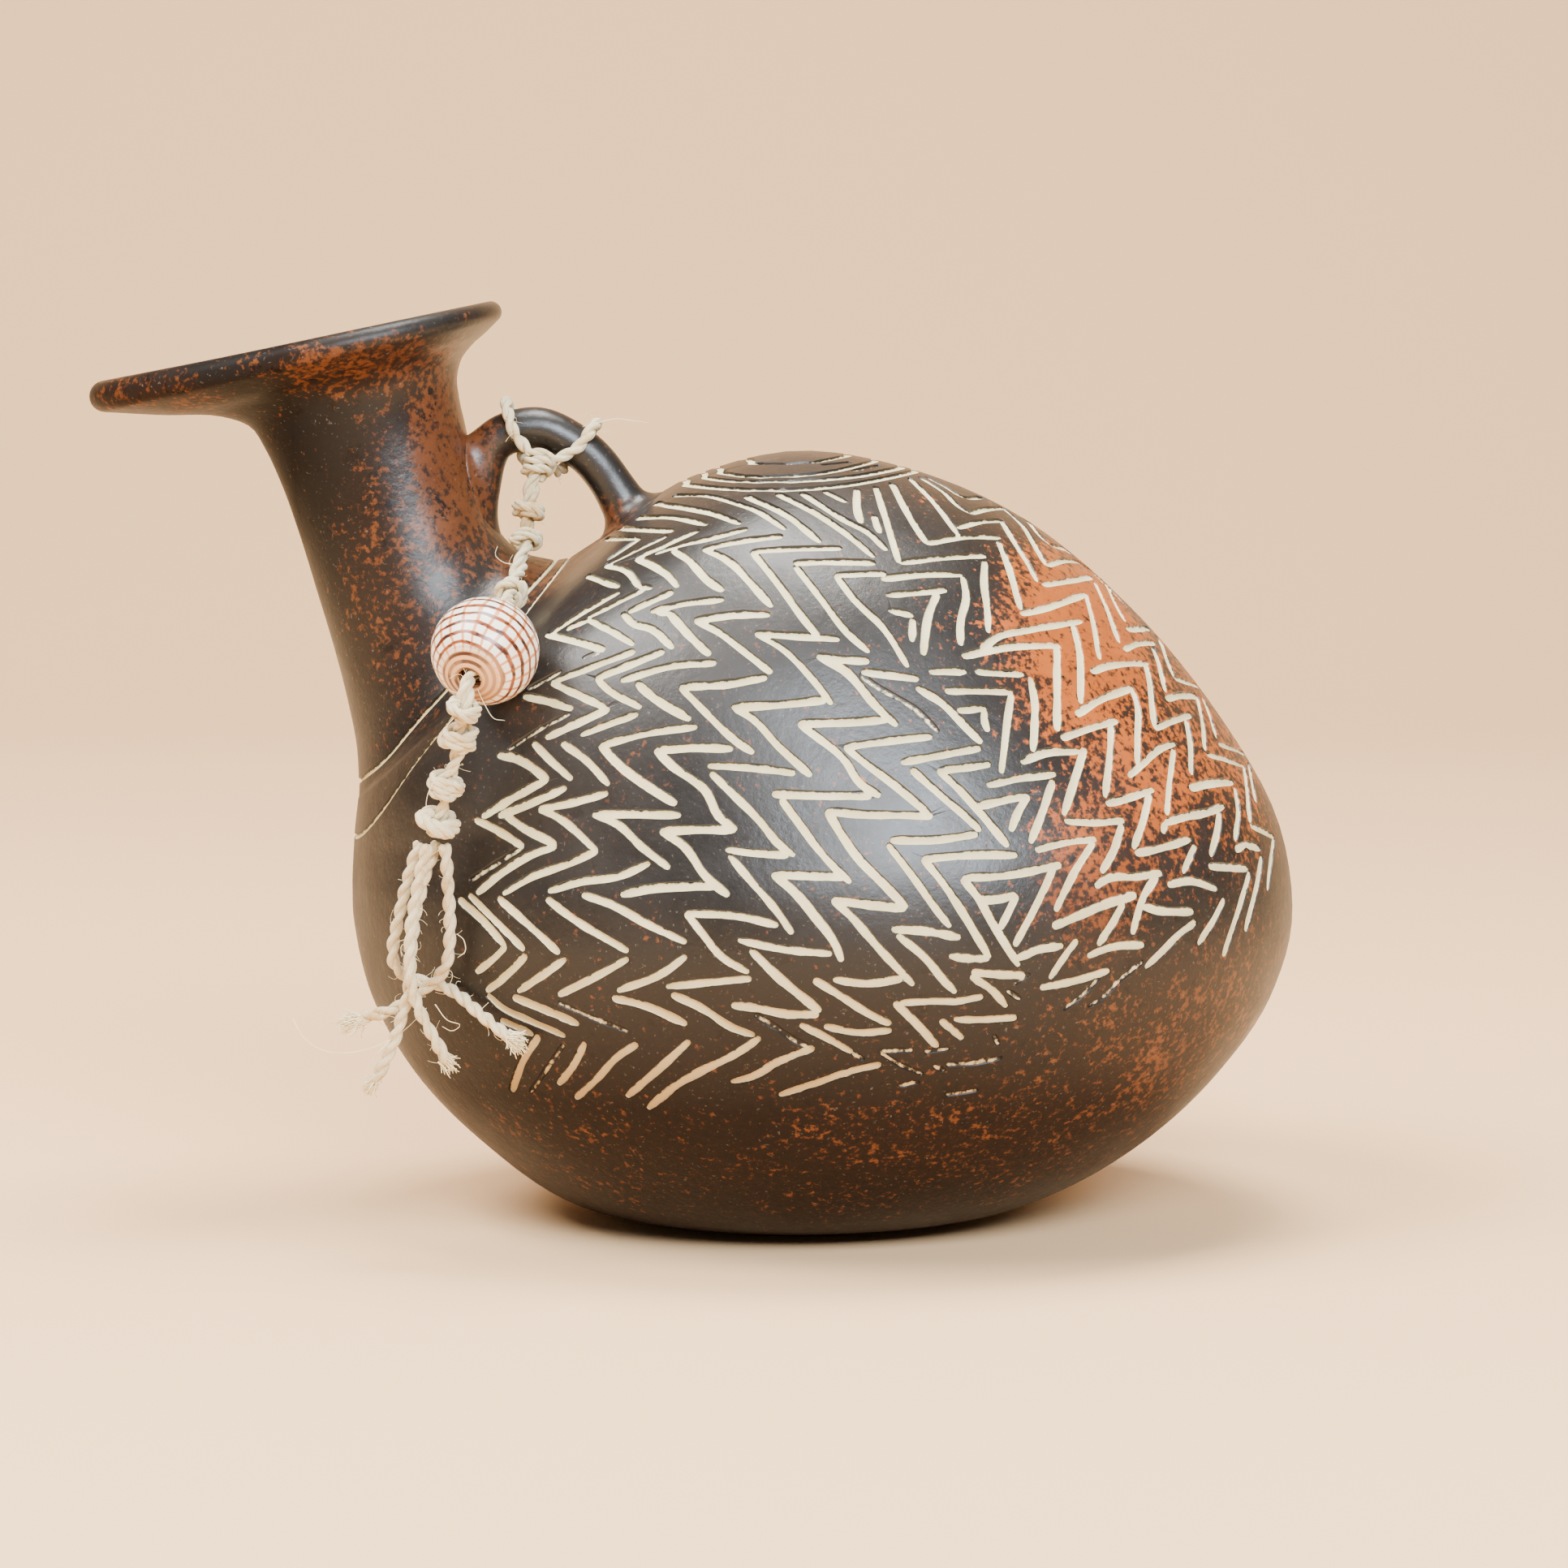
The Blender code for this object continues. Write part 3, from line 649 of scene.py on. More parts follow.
for seed, (name, (piece, path)) in enumerate(cords.items()):
    going = [stray_hairs(name + "_hairs", piece, HAIR_SEED + seed)]
    going += frays.get(name, [])
    if name == "twine_strand":
        going += list(knots.values())
    for extra in going:
        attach(extra, "root")
    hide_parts(name)
    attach(piece, "root")
    if name == "twine_strand":
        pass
    elif name in TASSEL_ROUTES:
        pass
    else:
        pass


# The bead: a round shell bead, cream with thin orange-brown bands, tan with dark arcs round the lower end of
# its drilled hole.
# It is threaded on the doubled strand and rests in the middle of it.
BEAD_DIAMETER = 0.0190
BEAD_BORE = 0.0052
BEAD_RIM = 0.0005
BEAD_BORE_START = 0.0011
BEAD_SIDES = 72
BEAD_STEPS = 44
BEAD_ASIDE = (1.0, 0.2, 0.1)

route = np.array(STRAND_ROUTE)
bead_aim = unit(route[BEAD_PLACE + 1] - route[BEAD_PLACE - 1])
bead_first = unit(np.cross(bead_aim, BEAD_ASIDE))
bead_second = np.cross(bead_aim, bead_first)
edge = math.asin(BEAD_BORE / BEAD_DIAMETER)
profile = []
for step in range(BEAD_STEPS + 1):
    turn = edge + (math.pi - 2 * edge) * step / BEAD_STEPS
    profile.append((BEAD_DIAMETER / 2 * math.sin(turn), -BEAD_DIAMETER / 2 * math.cos(turn),
                    step / BEAD_STEPS))
radius, along, _ = profile[-1]
rim_out, bore_in = along + BEAD_RIM / 10, along - BEAD_BORE_START
bore_radius = BEAD_BORE / 2 - BEAD_RIM * 0.6
profile += [(radius - BEAD_RIM, rim_out, 1.02), (bore_radius, bore_in, 1.05),
            (bore_radius, -bore_in, -0.05), (radius - BEAD_RIM, -rim_out, -0.02)]
points, faces, uvs = [], [], []
for radius, along, share in profile:
    for side in range(BEAD_SIDES):
        turn = 2 * math.pi * side / BEAD_SIDES
        points.append(route[BEAD_PLACE] + bead_aim * along
                      + radius * (math.cos(turn) * bead_first + math.sin(turn) * bead_second))
for row in range(len(profile)):
    after_row = (row + 1) % len(profile)
    low, high = profile[row][2], profile[after_row][2]
    for side in range(BEAD_SIDES):
        after = (side + 1) % BEAD_SIDES
        faces.append((row * BEAD_SIDES + side, row * BEAD_SIDES + after,
                      after_row * BEAD_SIDES + after, after_row * BEAD_SIDES + side))
        uvs += [(side / BEAD_SIDES, low), ((side + 1) / BEAD_SIDES, low),
                ((side + 1) / BEAD_SIDES, high), (side / BEAD_SIDES, high)]

shell, tree, shader = new_material("banded_shell", Roughness=0.28, Coat_Weight=0.25, Coat_Roughness=0.15)
bead_map = shade(tree, "UVMap", uv_map="round_hole")
apart = shade(tree, "SeparateXYZ", {0: bead_map.outputs[0]})
round_hole, to_hole = apart.outputs["X"], apart.outputs["Y"]
where = shade(tree, "TexCoord").outputs["Object"]
waver = noise(tree, where, 160.0, 3.0)
broken = noise(tree, where, 420.0, 4.0, 0.7)


def bands(value, count, tilt, width, waviness):
    """Thin stripes across a value: count of them, slanted by tilt, each a share of the spacing wide."""
    slant = calc(tree, "MULTIPLY_ADD", round_hole, tilt, value)
    wavy = calc(tree, "MULTIPLY_ADD", waver, waviness, slant)
    part = calc(tree, "FRACT", calc(tree, "MULTIPLY", wavy, float(count)))
    away = calc(tree, "ABSOLUTE", calc(tree, "SUBTRACT", part, 0.5))
    return fade(tree, away, width, width * 0.45, ease="SMOOTHSTEP")


main_bands = bands(to_hole, 12, 1 / 12, 0.24, 0.08)
cross_bands = bands(round_hole, 22, 0.0, 0.17, 0.04)
cream = blend_colours(tree, soil_on(tree, where, 90.0, 0.30, 0.3), srgb(250, 243, 228), srgb(236, 205, 170))
lined = blend_colours(tree, calc(tree, "MULTIPLY", cross_bands, 0.92), cream, srgb(212, 132, 66))
banded = blend_colours(tree, main_bands, lined, srgb(146, 70, 28))
dark = calc(tree, "MULTIPLY", main_bands, fade(tree, broken, 0.47, 0.56))
marked = blend_colours(tree, dark, banded, srgb(62, 30, 18))
near_hole = fade(tree, to_hole, 0.83, 0.90)
swirl = bands(to_hole, 18, 1 / 18, 0.34, 0.02)
ringed = calc(tree, "MULTIPLY", swirl, fade(tree, waver, 0.38, 0.50, 0.50))
arcs = calc(tree, "MULTIPLY", ringed, near_hole)
toned = blend_colours(tree, near_hole, marked, srgb(218, 160, 108))
finished = blend_colours(tree, arcs, toned, srgb(74, 34, 18))
tree.links.new(finished, shader.inputs["Base Color"])
tree.links.new(bumps(tree, broken, 0.00006, 0.6), shader.inputs["Normal"])

bead = new_piece("bead_shell", points, faces, shell)
layer = bead.data.uv_layers.new(name="round_hole")
layer.data.foreach_set("uv", np.array(uvs, dtype=np.float32).ravel())
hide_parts("bead")
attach(bead, "root")


# The vessel: hand-built, smoke-blackened clay, burnished and then cut with strokes that are filled
# with white paste. Body, neck, lip and loop handle are one fired piece, 5 mm thick and empty.
BODY_LENGTH = 0.1744
BODY_HEIGHT = 0.1425
BODY_DEPTH = 0.148
BODY_CENTRE_X = 0.0044
BASE_LENGTH = 0.055
BASE_WIDTH = 0.047
WALL = 0.005
NECK_RISE = 0.0590
NECK_LEAN = 0.0296
NECK_WIDTH = 0.037
NECK_TILT = math.radians(47.0)
LIP_LENGTH = 0.0796
LIP_WIDTH = 0.064
LIP_TILT = math.radians(13.1)
LIP_BEAK = 0.12
LIP_FRONT_THICKNESS = 0.0058
LIP_BACK_THICKNESS = 0.0040
FIRST_LIP_RING = 7
FOOT_RINGS = ((0.94, 0.0), (0.80, 0.00015), (0.45, 0.00045))
FLOOR_MIDDLE = 0.0005
SLOPE_STEP = 0.00002
SLOPE_TURN = 0.0005
SETTLE_STEPS = 5
GRID_ROWS = 240
GRID_SIDES = 360

# Rings fan up the body from the underside: both ends' shares of half the length and of the height
BODY_RINGS = (
    (-0.560, 0.028, 0.474, 0.030), (-0.735, 0.105, 0.680, 0.100), (-0.880, 0.200, 0.850, 0.198),
    (-0.967, 0.300, 0.963, 0.305), (-1.000, 0.391, 1.000, 0.418), (-1.003, 0.434, 0.963, 0.530),
    (-1.002, 0.460, 0.845, 0.655), (-1.000, 0.481, 0.665, 0.790), (-0.998, 0.498, 0.405, 0.920),
    (-0.996, 0.514, 0.147, 0.983), (-0.993, 0.530, -0.060, 1.000), (-0.990, 0.546, -0.282, 0.966),
    (-0.988, 0.573, -0.558, 0.859),
)

# Rings of the neck: shares of its rise, lean and width, of the lip's spread and of the turn to its tilt
NECK_RINGS = (
    (0.070, 0.130, 1.270, 0.00, -0.07), (0.193, 0.245, 1.130, 0.00, -0.06), (0.320, 0.323, 1.070, 0.00, 0.02),
    (0.455, 0.399, 1.024, 0.00, 0.18), (0.597, 0.473, 0.992, 0.00, 0.40), (0.716, 0.544, 0.986, 0.00, 0.61),
    (0.806, 0.600, 1.000, 0.02, 0.77), (0.867, 0.632, 1.000, 0.09, 0.86), (0.903, 0.690, 1.000, 0.25, 0.92),
    (0.925, 0.835, 1.000, 0.57, 0.97), (0.951, 0.970, 1.000, 0.88, 1.00),
)

rows = [(-BASE_LENGTH / 2, 0.0, BASE_LENGTH / 2, 0.0, BASE_WIDTH / 2, 0.0)]
for front_x, front_z, back_x, back_z in BODY_RINGS:
    x1, z1 = BODY_CENTRE_X + front_x * BODY_LENGTH / 2, front_z * BODY_HEIGHT
    x2, z2 = BODY_CENTRE_X + back_x * BODY_LENGTH / 2, back_z * BODY_HEIGHT
    spread = math.hypot((x2 - x1) / BODY_LENGTH, (z2 - z1) / BODY_HEIGHT)
    rows.append((x1, z1, x2, z2, BODY_DEPTH / 2 * spread, 0.0))
base_x, base_z = (x1 + x2) / 2, (z1 + z2) / 2
for rise, lean, width, spread, turn in NECK_RINGS:
    tilt = NECK_TILT + (LIP_TILT - NECK_TILT) * turn
    half = width * NECK_WIDTH / 2 + spread * (LIP_LENGTH - NECK_WIDTH) / 2
    depth = width * NECK_WIDTH / 2 + spread * (LIP_WIDTH - NECK_WIDTH) / 2
    x, z = base_x - lean * NECK_LEAN, base_z + rise * NECK_RISE
    rows.append((x - half * math.cos(tilt), z - half * math.sin(tilt),
                 x + half * math.cos(tilt), z + half * math.sin(tilt), depth, LIP_BEAK * spread))
pot_rows = np.array(rows)
front_steps = np.hypot(*np.diff(pot_rows[:, 0:2], axis=0).T)
back_steps = np.hypot(*np.diff(pot_rows[:, 2:4], axis=0).T)
pot_knots = np.concatenate(([0.0], np.cumsum((front_steps + back_steps) / 2)))
rim = pot_knots[-1]
neck_top = pot_knots[1 + len(BODY_RINGS) + FIRST_LIP_RING]


def pot_point(along, around):
    """Places on the outer skin from pairs of distance up the pot and angle from its back."""
    ring = smooth_at(pot_rows, pot_knots, np.clip(along, 0, rim))
    middle = (ring[:, 0:2] + ring[:, 2:4]) / 2
    arm = (ring[:, 2:4] - ring[:, 0:2]) / 2
    turn = np.cos(around)
    return np.stack([middle[:, 0] + arm[:, 0] * turn,
                     ring[:, 4] * np.sin(around) * (1 + ring[:, 5] * turn),
                     middle[:, 1] + arm[:, 1] * turn], axis=1)


def pot_slopes(along, around):
    """The skin's slopes along and around, and its outward normal."""
    low, high = np.clip(along - SLOPE_STEP, 0, rim), np.clip(along + SLOPE_STEP, 0, rim)
    up = (pot_point(high, around) - pot_point(low, around)) / (high - low)[:, None]
    side = (pot_point(along, around + SLOPE_TURN) - pot_point(along, around - SLOPE_TURN)) / (2 * SLOPE_TURN)
    return up, side, unit(np.cross(side, up))


def chart_steps(up, side, vectors):
    """Steps along and around that move a place on the skin by the given vectors."""
    a, b, c = (up * up).sum(1), (up * side).sum(1), (side * side).sum(1)
    p, q = (up * vectors).sum(1), (side * vectors).sum(1)
    below = a * c - b * b
    return (c * p - b * q) / below, (a * q - b * p) / below


grid_along = np.linspace(0, rim, GRID_ROWS + 1)
grid_around = np.linspace(-math.pi, math.pi, GRID_SIDES + 1)
mesh_along, mesh_around = np.meshgrid(grid_along, grid_around, indexing="ij")
grid_faces = []
for row in range(GRID_ROWS):
    first, above = row * (GRID_SIDES + 1), (row + 1) * (GRID_SIDES + 1)
    grid_faces += [(first + side, first + side + 1, above + side + 1, above + side)
                   for side in range(GRID_SIDES)]
pot_tree = BVHTree.FromPolygons(pot_point(mesh_along.ravel(), mesh_around.ravel()).tolist(), grid_faces)


def settle(places, along, around):
    """Distance and angle whose place on the skin is the given one, from a first guess."""
    for _ in range(SETTLE_STEPS):
        up, side, _ = pot_slopes(along, around)
        step_along, step_around = chart_steps(up, side, places - pot_point(along, around))
        along, around = np.clip(along + step_along, 0, rim), around + step_around
    return along, around


def seen_on_pot(pixels):
    """Where the lines of sight through points of the photograph meet the pot, or its nearest edge."""
    look = np.array([0, math.cos(LOOK_DOWN), -math.sin(LOOK_DOWN)])
    over = np.array([0, math.sin(LOOK_DOWN), math.cos(LOOK_DOWN)])
    places, along, around = [], [], []
    for x, y in pixels:
        for nudge in range(NUDGES):
            pull = nudge * NUDGE
            px, py = x + (POT_SEEN[0] - x) * pull, y + (POT_SEEN[1] - y) * pull
            aim = look + np.array([(px - PHOTO_SIDE / 2) / FOCAL_LENGTH, 0, 0])
            aim = aim - over * (py - PHOTO_SIDE / 2) / FOCAL_LENGTH
            hit, _, face, _ = pot_tree.ray_cast(Vector(EYE), Vector(aim).normalized())
            if hit is not None:
                break
        places.append(hit)
        along.append(grid_along[face // GRID_SIDES] + rim / (2 * GRID_ROWS))
        around.append(grid_around[face % GRID_SIDES] + math.pi / GRID_SIDES)
    return settle(np.array(places), np.array(along), np.array(around))


# The strokes of the seen side, as points of the photograph along each one; a sharp turn starts a new cut.
# Each group has its paste's fullness. The rings on the dome run on round the hidden side.
DOME_RINGS = """
844 597 880 601 930 604 1000 602 1060 595 1105 586 1126 581
867 588 885 591 940 594 1000 592 1060 586 1106 577
886 582 920 587 970 587 1030 580 1071 570
925 571 960 572 1000 570 1037 563
"""
NECK_LINES = """
447 958 476 935 495 912 518 884 550 850 600 790 646 733 674 703
444 1031 472 997 495 962 518 930 541 903 597 827 651 751 694 696
"""
STROKES = {
    "shoulder": (1.0, """
831 610 874 611 910 621 930 628 968 652
807 620 852 627 880 633 912 645
785 638 829 637 871 646
758 651 829 654
745 664 789 663
789 663 748 690
821 660 746 696 773 704 787 722 803 724
793 726 724 760
763 729 717 755 677 781
723 709 763 723
860 653 784 687 809 699 825 710 835 723
828 729 775 753
963 660 910 667 867 676 897 690 925 718 951 747
920 651 880 662 829 674 807 682
829 677 849 690 870 713 890 727
891 738 840 744 802 753
672 781 699 787 744 800
699 774 725 763 755 778 781 794
767 755 782 769 800 773 829 798
809 754 825 755 845 778 874 806
948 757 910 757 857 764 885 778 910 797 950 828
"""),
    "fan_under_rings": (1.0, """
919 611 970 635 1011 668
958 608 1010 635 1050 663 1077 686
988 607 1040 640 1070 656 1092 677
1016 605 1042 618
1056 602 1056 625 1061 644
1077 635 1084 656
1079 599 1092 640 1108 693
1110 693 1150 688 1214 684
1099 595 1120 635 1142 669 1180 662 1232 661
1121 589 1150 618 1182 660
1180 650 1205 643 1234 641 1250 668 1270 700 1278 716
1134 588 1165 608 1181 624 1196 632 1215 627 1236 626 1262 650 1275 672 1289 696
1142 588 1165 600 1188 613 1214 612
"""),
    "left_zigzags": (1.0, """
781 802 679 840 749 873 673 908
657 915 676 935 704 960
697 970 660 987 614 1005
622 1004 640 1017 684 1040
684 1042 650 1055 618 1075 587 1100
577 1102 600 1125 645 1170
647 1177 625 1200 599 1221
600 1226 620 1243 650 1257 696 1277
645 857 680 865 705 873
613 930 635 934 674 960 640 978 594 1006
585 1010 603 1018 644 1043
565 1108 590 1130 622 1166 605 1183 586 1198
817 802 735 835 745 846 789 871
785 879 750 892 715 905
692 915 720 935 750 967
748 977 700 990 664 997 680 1003 735 1048
735 1048 700 1064 655 1080 619 1101
613 1106 640 1130 688 1174
696 1181 670 1200 637 1222
632 1229 655 1238 712 1262
881 816 830 820 765 838
785 841 800 855 850 886
858 895 800 903 740 918 760 940 800 970 832 990
838 1004 780 1003 730 1003 760 1015 790 1043 824 1069
800 1063 760 1080 715 1086 675 1098
673 1107 700 1128 773 1172
773 1181 740 1200 688 1226
"""),
    "middle_zigzags": (1.0, """
944 834 900 842 838 846 860 868 910 915 928 927
902 922 860 921 808 924 830 945 870 975 885 1005 907 1022
905 1022 860 1022 814 1024 840 1040 870 1080 897 1103
885 1091 850 1092 800 1095 765 1102
717 1102 750 1113 800 1140 845 1161
845 1178 815 1200 760 1221
755 1230 790 1238 845 1262
979 952 930 946 872 943
876 952 910 985 935 1010 960 1040 979 1054
970 1053 930 1051 894 1046
898 1053 925 1085 955 1120 976 1150
958 1140 910 1129 845 1125 865 1150 890 1180 922 1198
925 1206 880 1210 820 1216
828 1226 860 1240 905 1268 929 1276
1036 675 975 676 927 679 960 720 985 755 1008 783
1034 787 975 783 931 780 960 796 1000 835 1025 867
1016 862 960 868 902 871
905 873 920 880 960 920 999 955
1077 693 1030 692 979 693
980 697 1010 735 1045 780 1071 803
1070 814 1025 811 1008 808 1040 825 1080 870 1105 893
1095 886 1040 890 985 891 1010 910 1040 935 1060 965 1084 980
1072 980 1010 980 953 978
963 985 985 1015 1020 1060 1048 1087
1040 1080 1000 1079 953 1077 975 1095 1005 1130 1030 1165 1037 1184
1024 1175 985 1172 940 1165 909 1158
925 1171 960 1205 990 1230 1010 1246
1007 1250 970 1250 930 1242 902 1239
"""),
    "right_zigzags": (1.0, """
1091 706 1030 708 1050 735 1090 775 1119 821
1131 836 1100 832 1062 827
1148 907 1100 912 1042 920 1060 935 1100 965 1148 1005
1148 1005 1110 1004 1060 1003 1020 999 1035 1025 1060 1060 1085 1085 1117 1118
1115 1119 1075 1115 1027 1109 1050 1130 1080 1165 1126 1214
1111 1206 1070 1212 1027 1207
1004 1208 1040 1230 1075 1252 1097 1262
1098 1270 1060 1273 1016 1265
1130 847 1160 865 1190 895 1209 914
1208 921 1160 930 1111 939
1124 948 1160 980 1195 1010 1208 1023
1204 1027 1160 1034 1098 1035
1094 1040 1125 1080 1150 1115 1171 1142
1183 1155 1140 1147 1100 1145
1106 1152 1140 1180 1165 1210 1178 1223
1211 1228 1180 1234 1150 1234 1110 1236
1103 1236 1130 1262 1155 1290
1220 941 1185 946 1157 949 1180 970 1210 1003 1242 1042
1206 993 1240 985 1267 980 1255 1000 1246 1023
1253 1053 1200 1053 1138 1058 1160 1085 1190 1130 1205 1155 1220 1180
1219 1181 1195 1181 1170 1178
1262 1202 1220 1200 1199 1198
1197 1203 1225 1222 1241 1241
1252 1254 1200 1257 1176 1256
1307 1065 1270 1073 1235 1079 1187 1081
1187 1083 1205 1105 1225 1140 1256 1190
1203 1108 1235 1107 1252 1102
1253 1103 1245 1120 1233 1144
1299 1069 1280 1110 1251 1165
1254 1181 1280 1170 1310 1165
1328 1158 1315 1175 1294 1206
"""),
    "panels": (1.0, """
1185 707 1130 708 1087 713
1187 710 1191 735 1184 765 1184 794
1166 726 1130 730 1092 733
1155 731 1145 755 1140 785 1138 806
1095 751 1125 758
1125 762 1124 790
1214 690 1213 720 1217 750 1218 779
1146 827 1191 827
1203 827 1235 829 1262 830
1270 833 1275 860 1275 900 1273 925
1166 851 1200 851 1248 852
1247 853 1242 885 1237 930 1234 952
1181 875 1215 872
1214 874 1213 885 1217 900
1211 798 1228 785 1270 775 1333 764
1322 768 1330 800 1332 866
1187 808 1240 797 1306 794
1303 797 1303 850 1303 899
"""),
    "right_steps": (1.0, """
1290 696 1312 690 1335 694 1344 699 1360 715 1375 745 1386 765
1230 666 1240 690 1258 750
1258 756 1290 748 1338 731 1347 765 1355 812
1285 720 1310 716 1345 710
1349 717 1360 740 1379 791
1345 827 1365 820 1415 816
1412 818 1417 840 1420 870 1423 895
1262 637 1295 671 1326 678
1388 775 1418 773
1385 800 1400 793 1423 791
1421 797 1430 825 1436 852
1428 783 1437 810 1447 835 1474 844
1352 708 1372 730 1388 748
1327 880 1350 865 1396 846
1395 848 1402 870 1402 910 1402 941
1391 956 1410 940 1430 922 1449 915
1447 922 1442 960 1438 1003
1423 897 1445 888 1468 880
1462 886 1467 915 1468 953
1309 909 1340 898 1377 887
1370 892 1368 930 1362 982
1364 990 1390 983 1422 972
1417 977 1408 1015 1397 1045
1259 939 1285 928 1331 925
1337 921 1325 960 1311 1004
1313 1011 1350 1013 1385 1010
1383 1015 1372 1050 1358 1074
1217 967 1250 960 1301 953
1298 961 1285 1000 1270 1038
1277 1047 1310 1038 1351 1033
1348 1038 1330 1065 1301 1122
1400 1051 1430 1045 1468 1033
1473 1041 1465 1060 1458 1075
1433 1025 1437 1013 1460 1006 1490 1000 1509 992
1503 1000 1501 1020 1492 1054
1467 971 1490 965 1520 963
1522 969 1526 1000 1522 1035
1523 1047 1535 1040 1553 1045
1490 1067 1538 1070
1540 1075 1530 1110 1508 1177
1440 1090 1465 1085 1500 1095
1351 1092 1365 1082 1400 1080 1432 1075
1426 1080 1412 1100 1403 1125 1396 1150
1437 861 1450 857 1475 857 1482 890 1485 924
1487 929 1510 935 1533 943 1537 975 1540 1012
1482 859 1492 885 1499 909
1501 916 1520 922 1533 928
1539 942 1547 987
1541 1017 1555 1023 1570 1031
1570 1033 1566 1060 1562 1097
1555 1055 1549 1090 1535 1146
1299 1141 1330 1128 1360 1115 1400 1102
1385 1113 1370 1140 1354 1164
1407 1116 1430 1122 1471 1123
1474 1136 1455 1150 1430 1175 1412 1192
1509 1107 1498 1130 1477 1163
1341 1178 1370 1167 1410 1164
1283 1217 1320 1210 1367 1196
"""),
    "bottom_row": (0.9, """
616 1257 656 1275
663 1277 645 1305 630 1345
720 1285 705 1315 687 1337
784 1287 760 1303 735 1330 709 1354
849 1283 820 1310 772 1352
936 1279 905 1300 870 1317 830 1340 798 1367
1002 1292 960 1308 925 1328 900 1334
1085 1312 1050 1320 1000 1337 960 1350
986 1263 1020 1280 1050 1297
1160 1258 1175 1270 1186 1280
"""),
    "worn": (0.45, """
703 878 665 898 625 924
692 826 650 849
644 1043 620 1058 578 1085
687 1235 725 1252 774 1271
739 803 717 811
694 1287 675 1315 653 1347
930 1250 950 1262 980 1282 1000 1292
1050 1297 1065 1306
1060 831 1075 842 1130 875 1157 902
1358 1200 1340 1220 1310 1245
1409 1184 1380 1207 1360 1228 1340 1240
1224 1275 1231 1288
1241 1220 1258 1232
1150 1313 1165 1320
1166 1312 1210 1308 1235 1303
1165 1349 1206 1343
1107 1338 1133 1333
1139 1296 1170 1292
1083 1295 1125 1294
1085 1297 1110 1312 1138 1324
1270 1200 1250 1212
1050 580 1084 573
1012 573 1048 569
"""),
}
STROKE_WIDTH = 0.00168
STROKE_DEPTH = 0.00050
STROKE_WALL = 0.00020
STROKE_STEP = 0.0012
STROKE_TRIM = 0.0004
STROKE_ENDS = (0.86, 0.80)
STROKE_PLACES = 7
UNEVEN_WIDTH = (0.84, 1.10)
UNEVEN_DEPTH = (0.85, 1.15)
UNEVEN_PASTE = (0.88, 1.06)
SEEN_WIDTHS = (0.92, 1.08)
HIDDEN_WIDTHS = (0.9, 1.08)
SHORTEST_STROKE = 0.0022
THINNEST_STROKE = 0.0001
LARGEST_REACH = 0.0010
SAMPLE_STEP = 0.0003
WORN_WIDTH = 0.72
WORN_DEPTH = 0.6
NECK_LINE_WIDTH = 0.66
NECK_LINE_PLACES = 181
NECK_LINE_BLUR = 15
DOME_RING_STEP = 0.004
PASTE_AT_WALL = 0.76
# Paste is pulled back from each stroke's upper wall: a painted shadow of the upper edge
UPPER_EDGE_PAINTED_SHADOW = 0.32
FLOOR_DISH = 0.12
LEAST_PASTE = 0.02
HIDDEN_SHIFT = 0.0011
SHIFT_UP_SHARE = 0.6
SHIFT_ARM = 0.07
HIDDEN_SPOUT_GAP = 0.10
HIDDEN_BACK_GAP = 0.035
SHIFTED_BACK_GAP = 0.03
NUDGES = 40
NUDGE = 0.006
POT_SEEN = (1000, 950)
SEE_STEP = 7.0
SHARP_TURN = math.radians(42)
CHART_TURN = 0.060
CHART_SCALE = 1000
CHART_CLOSE = 1e-4
SEAM_CLOSE = 1e-3
SKIN_STEP = 0.0029
SKIN_ROW_SHARE = 0.9
CLEAR_OF_STROKE = 0.00085
COLLAR_GAP = 0.004
RING_SAMPLES = 97
FEWEST_SIDES = 24
NECK_SIDES = 144
NECK_STEP = 0.0013
LIP_STEPS = 12
INNER_STEP = 0.0040
BASE_SIDES = 96
BAR_SIDES = 48
BAR_STEP = 0.0005
FILLET = 0.0032
BURIED = 0.0034
JUST_BURIED = 0.0002
stroke_chance = np.random.default_rng(12)


def read_chains(text):
    """Lines of numbers as lists of points."""
    return [np.array(line.split(), dtype=float).reshape(-1, 2) for line in text.strip().splitlines()]


def cuts_of(chain):
    """A chain split at its sharp turns, each cut drawn as a smooth line of closely spaced points."""
    runs, start = [], 0
    for index in range(1, len(chain) - 1):
        before, after = chain[index] - chain[index - 1], chain[index + 1] - chain[index]
        turn = math.acos(np.clip(np.dot(unit(before), unit(after)), -1, 1))
        if turn > SHARP_TURN:
            runs.append(chain[start:index + 1])
            start = index
    runs.append(chain[start:])
    return [smooth_line(run, SEE_STEP) for run in runs]


def smooth_line(points, step):
    """Evenly spaced points on a smooth line through a few points in any number of dimensions."""
    if len(points) == 2:
        count = max(2, math.ceil(np.linalg.norm(points[1] - points[0]) / step) + 1)
        return np.linspace(points[0], points[1], count)
    knots = lengths_along(points)
    places = np.linspace(0, knots[-1], max(3, math.ceil(knots[-1] / step) + 1))
    return smooth_at(points, knots, places)


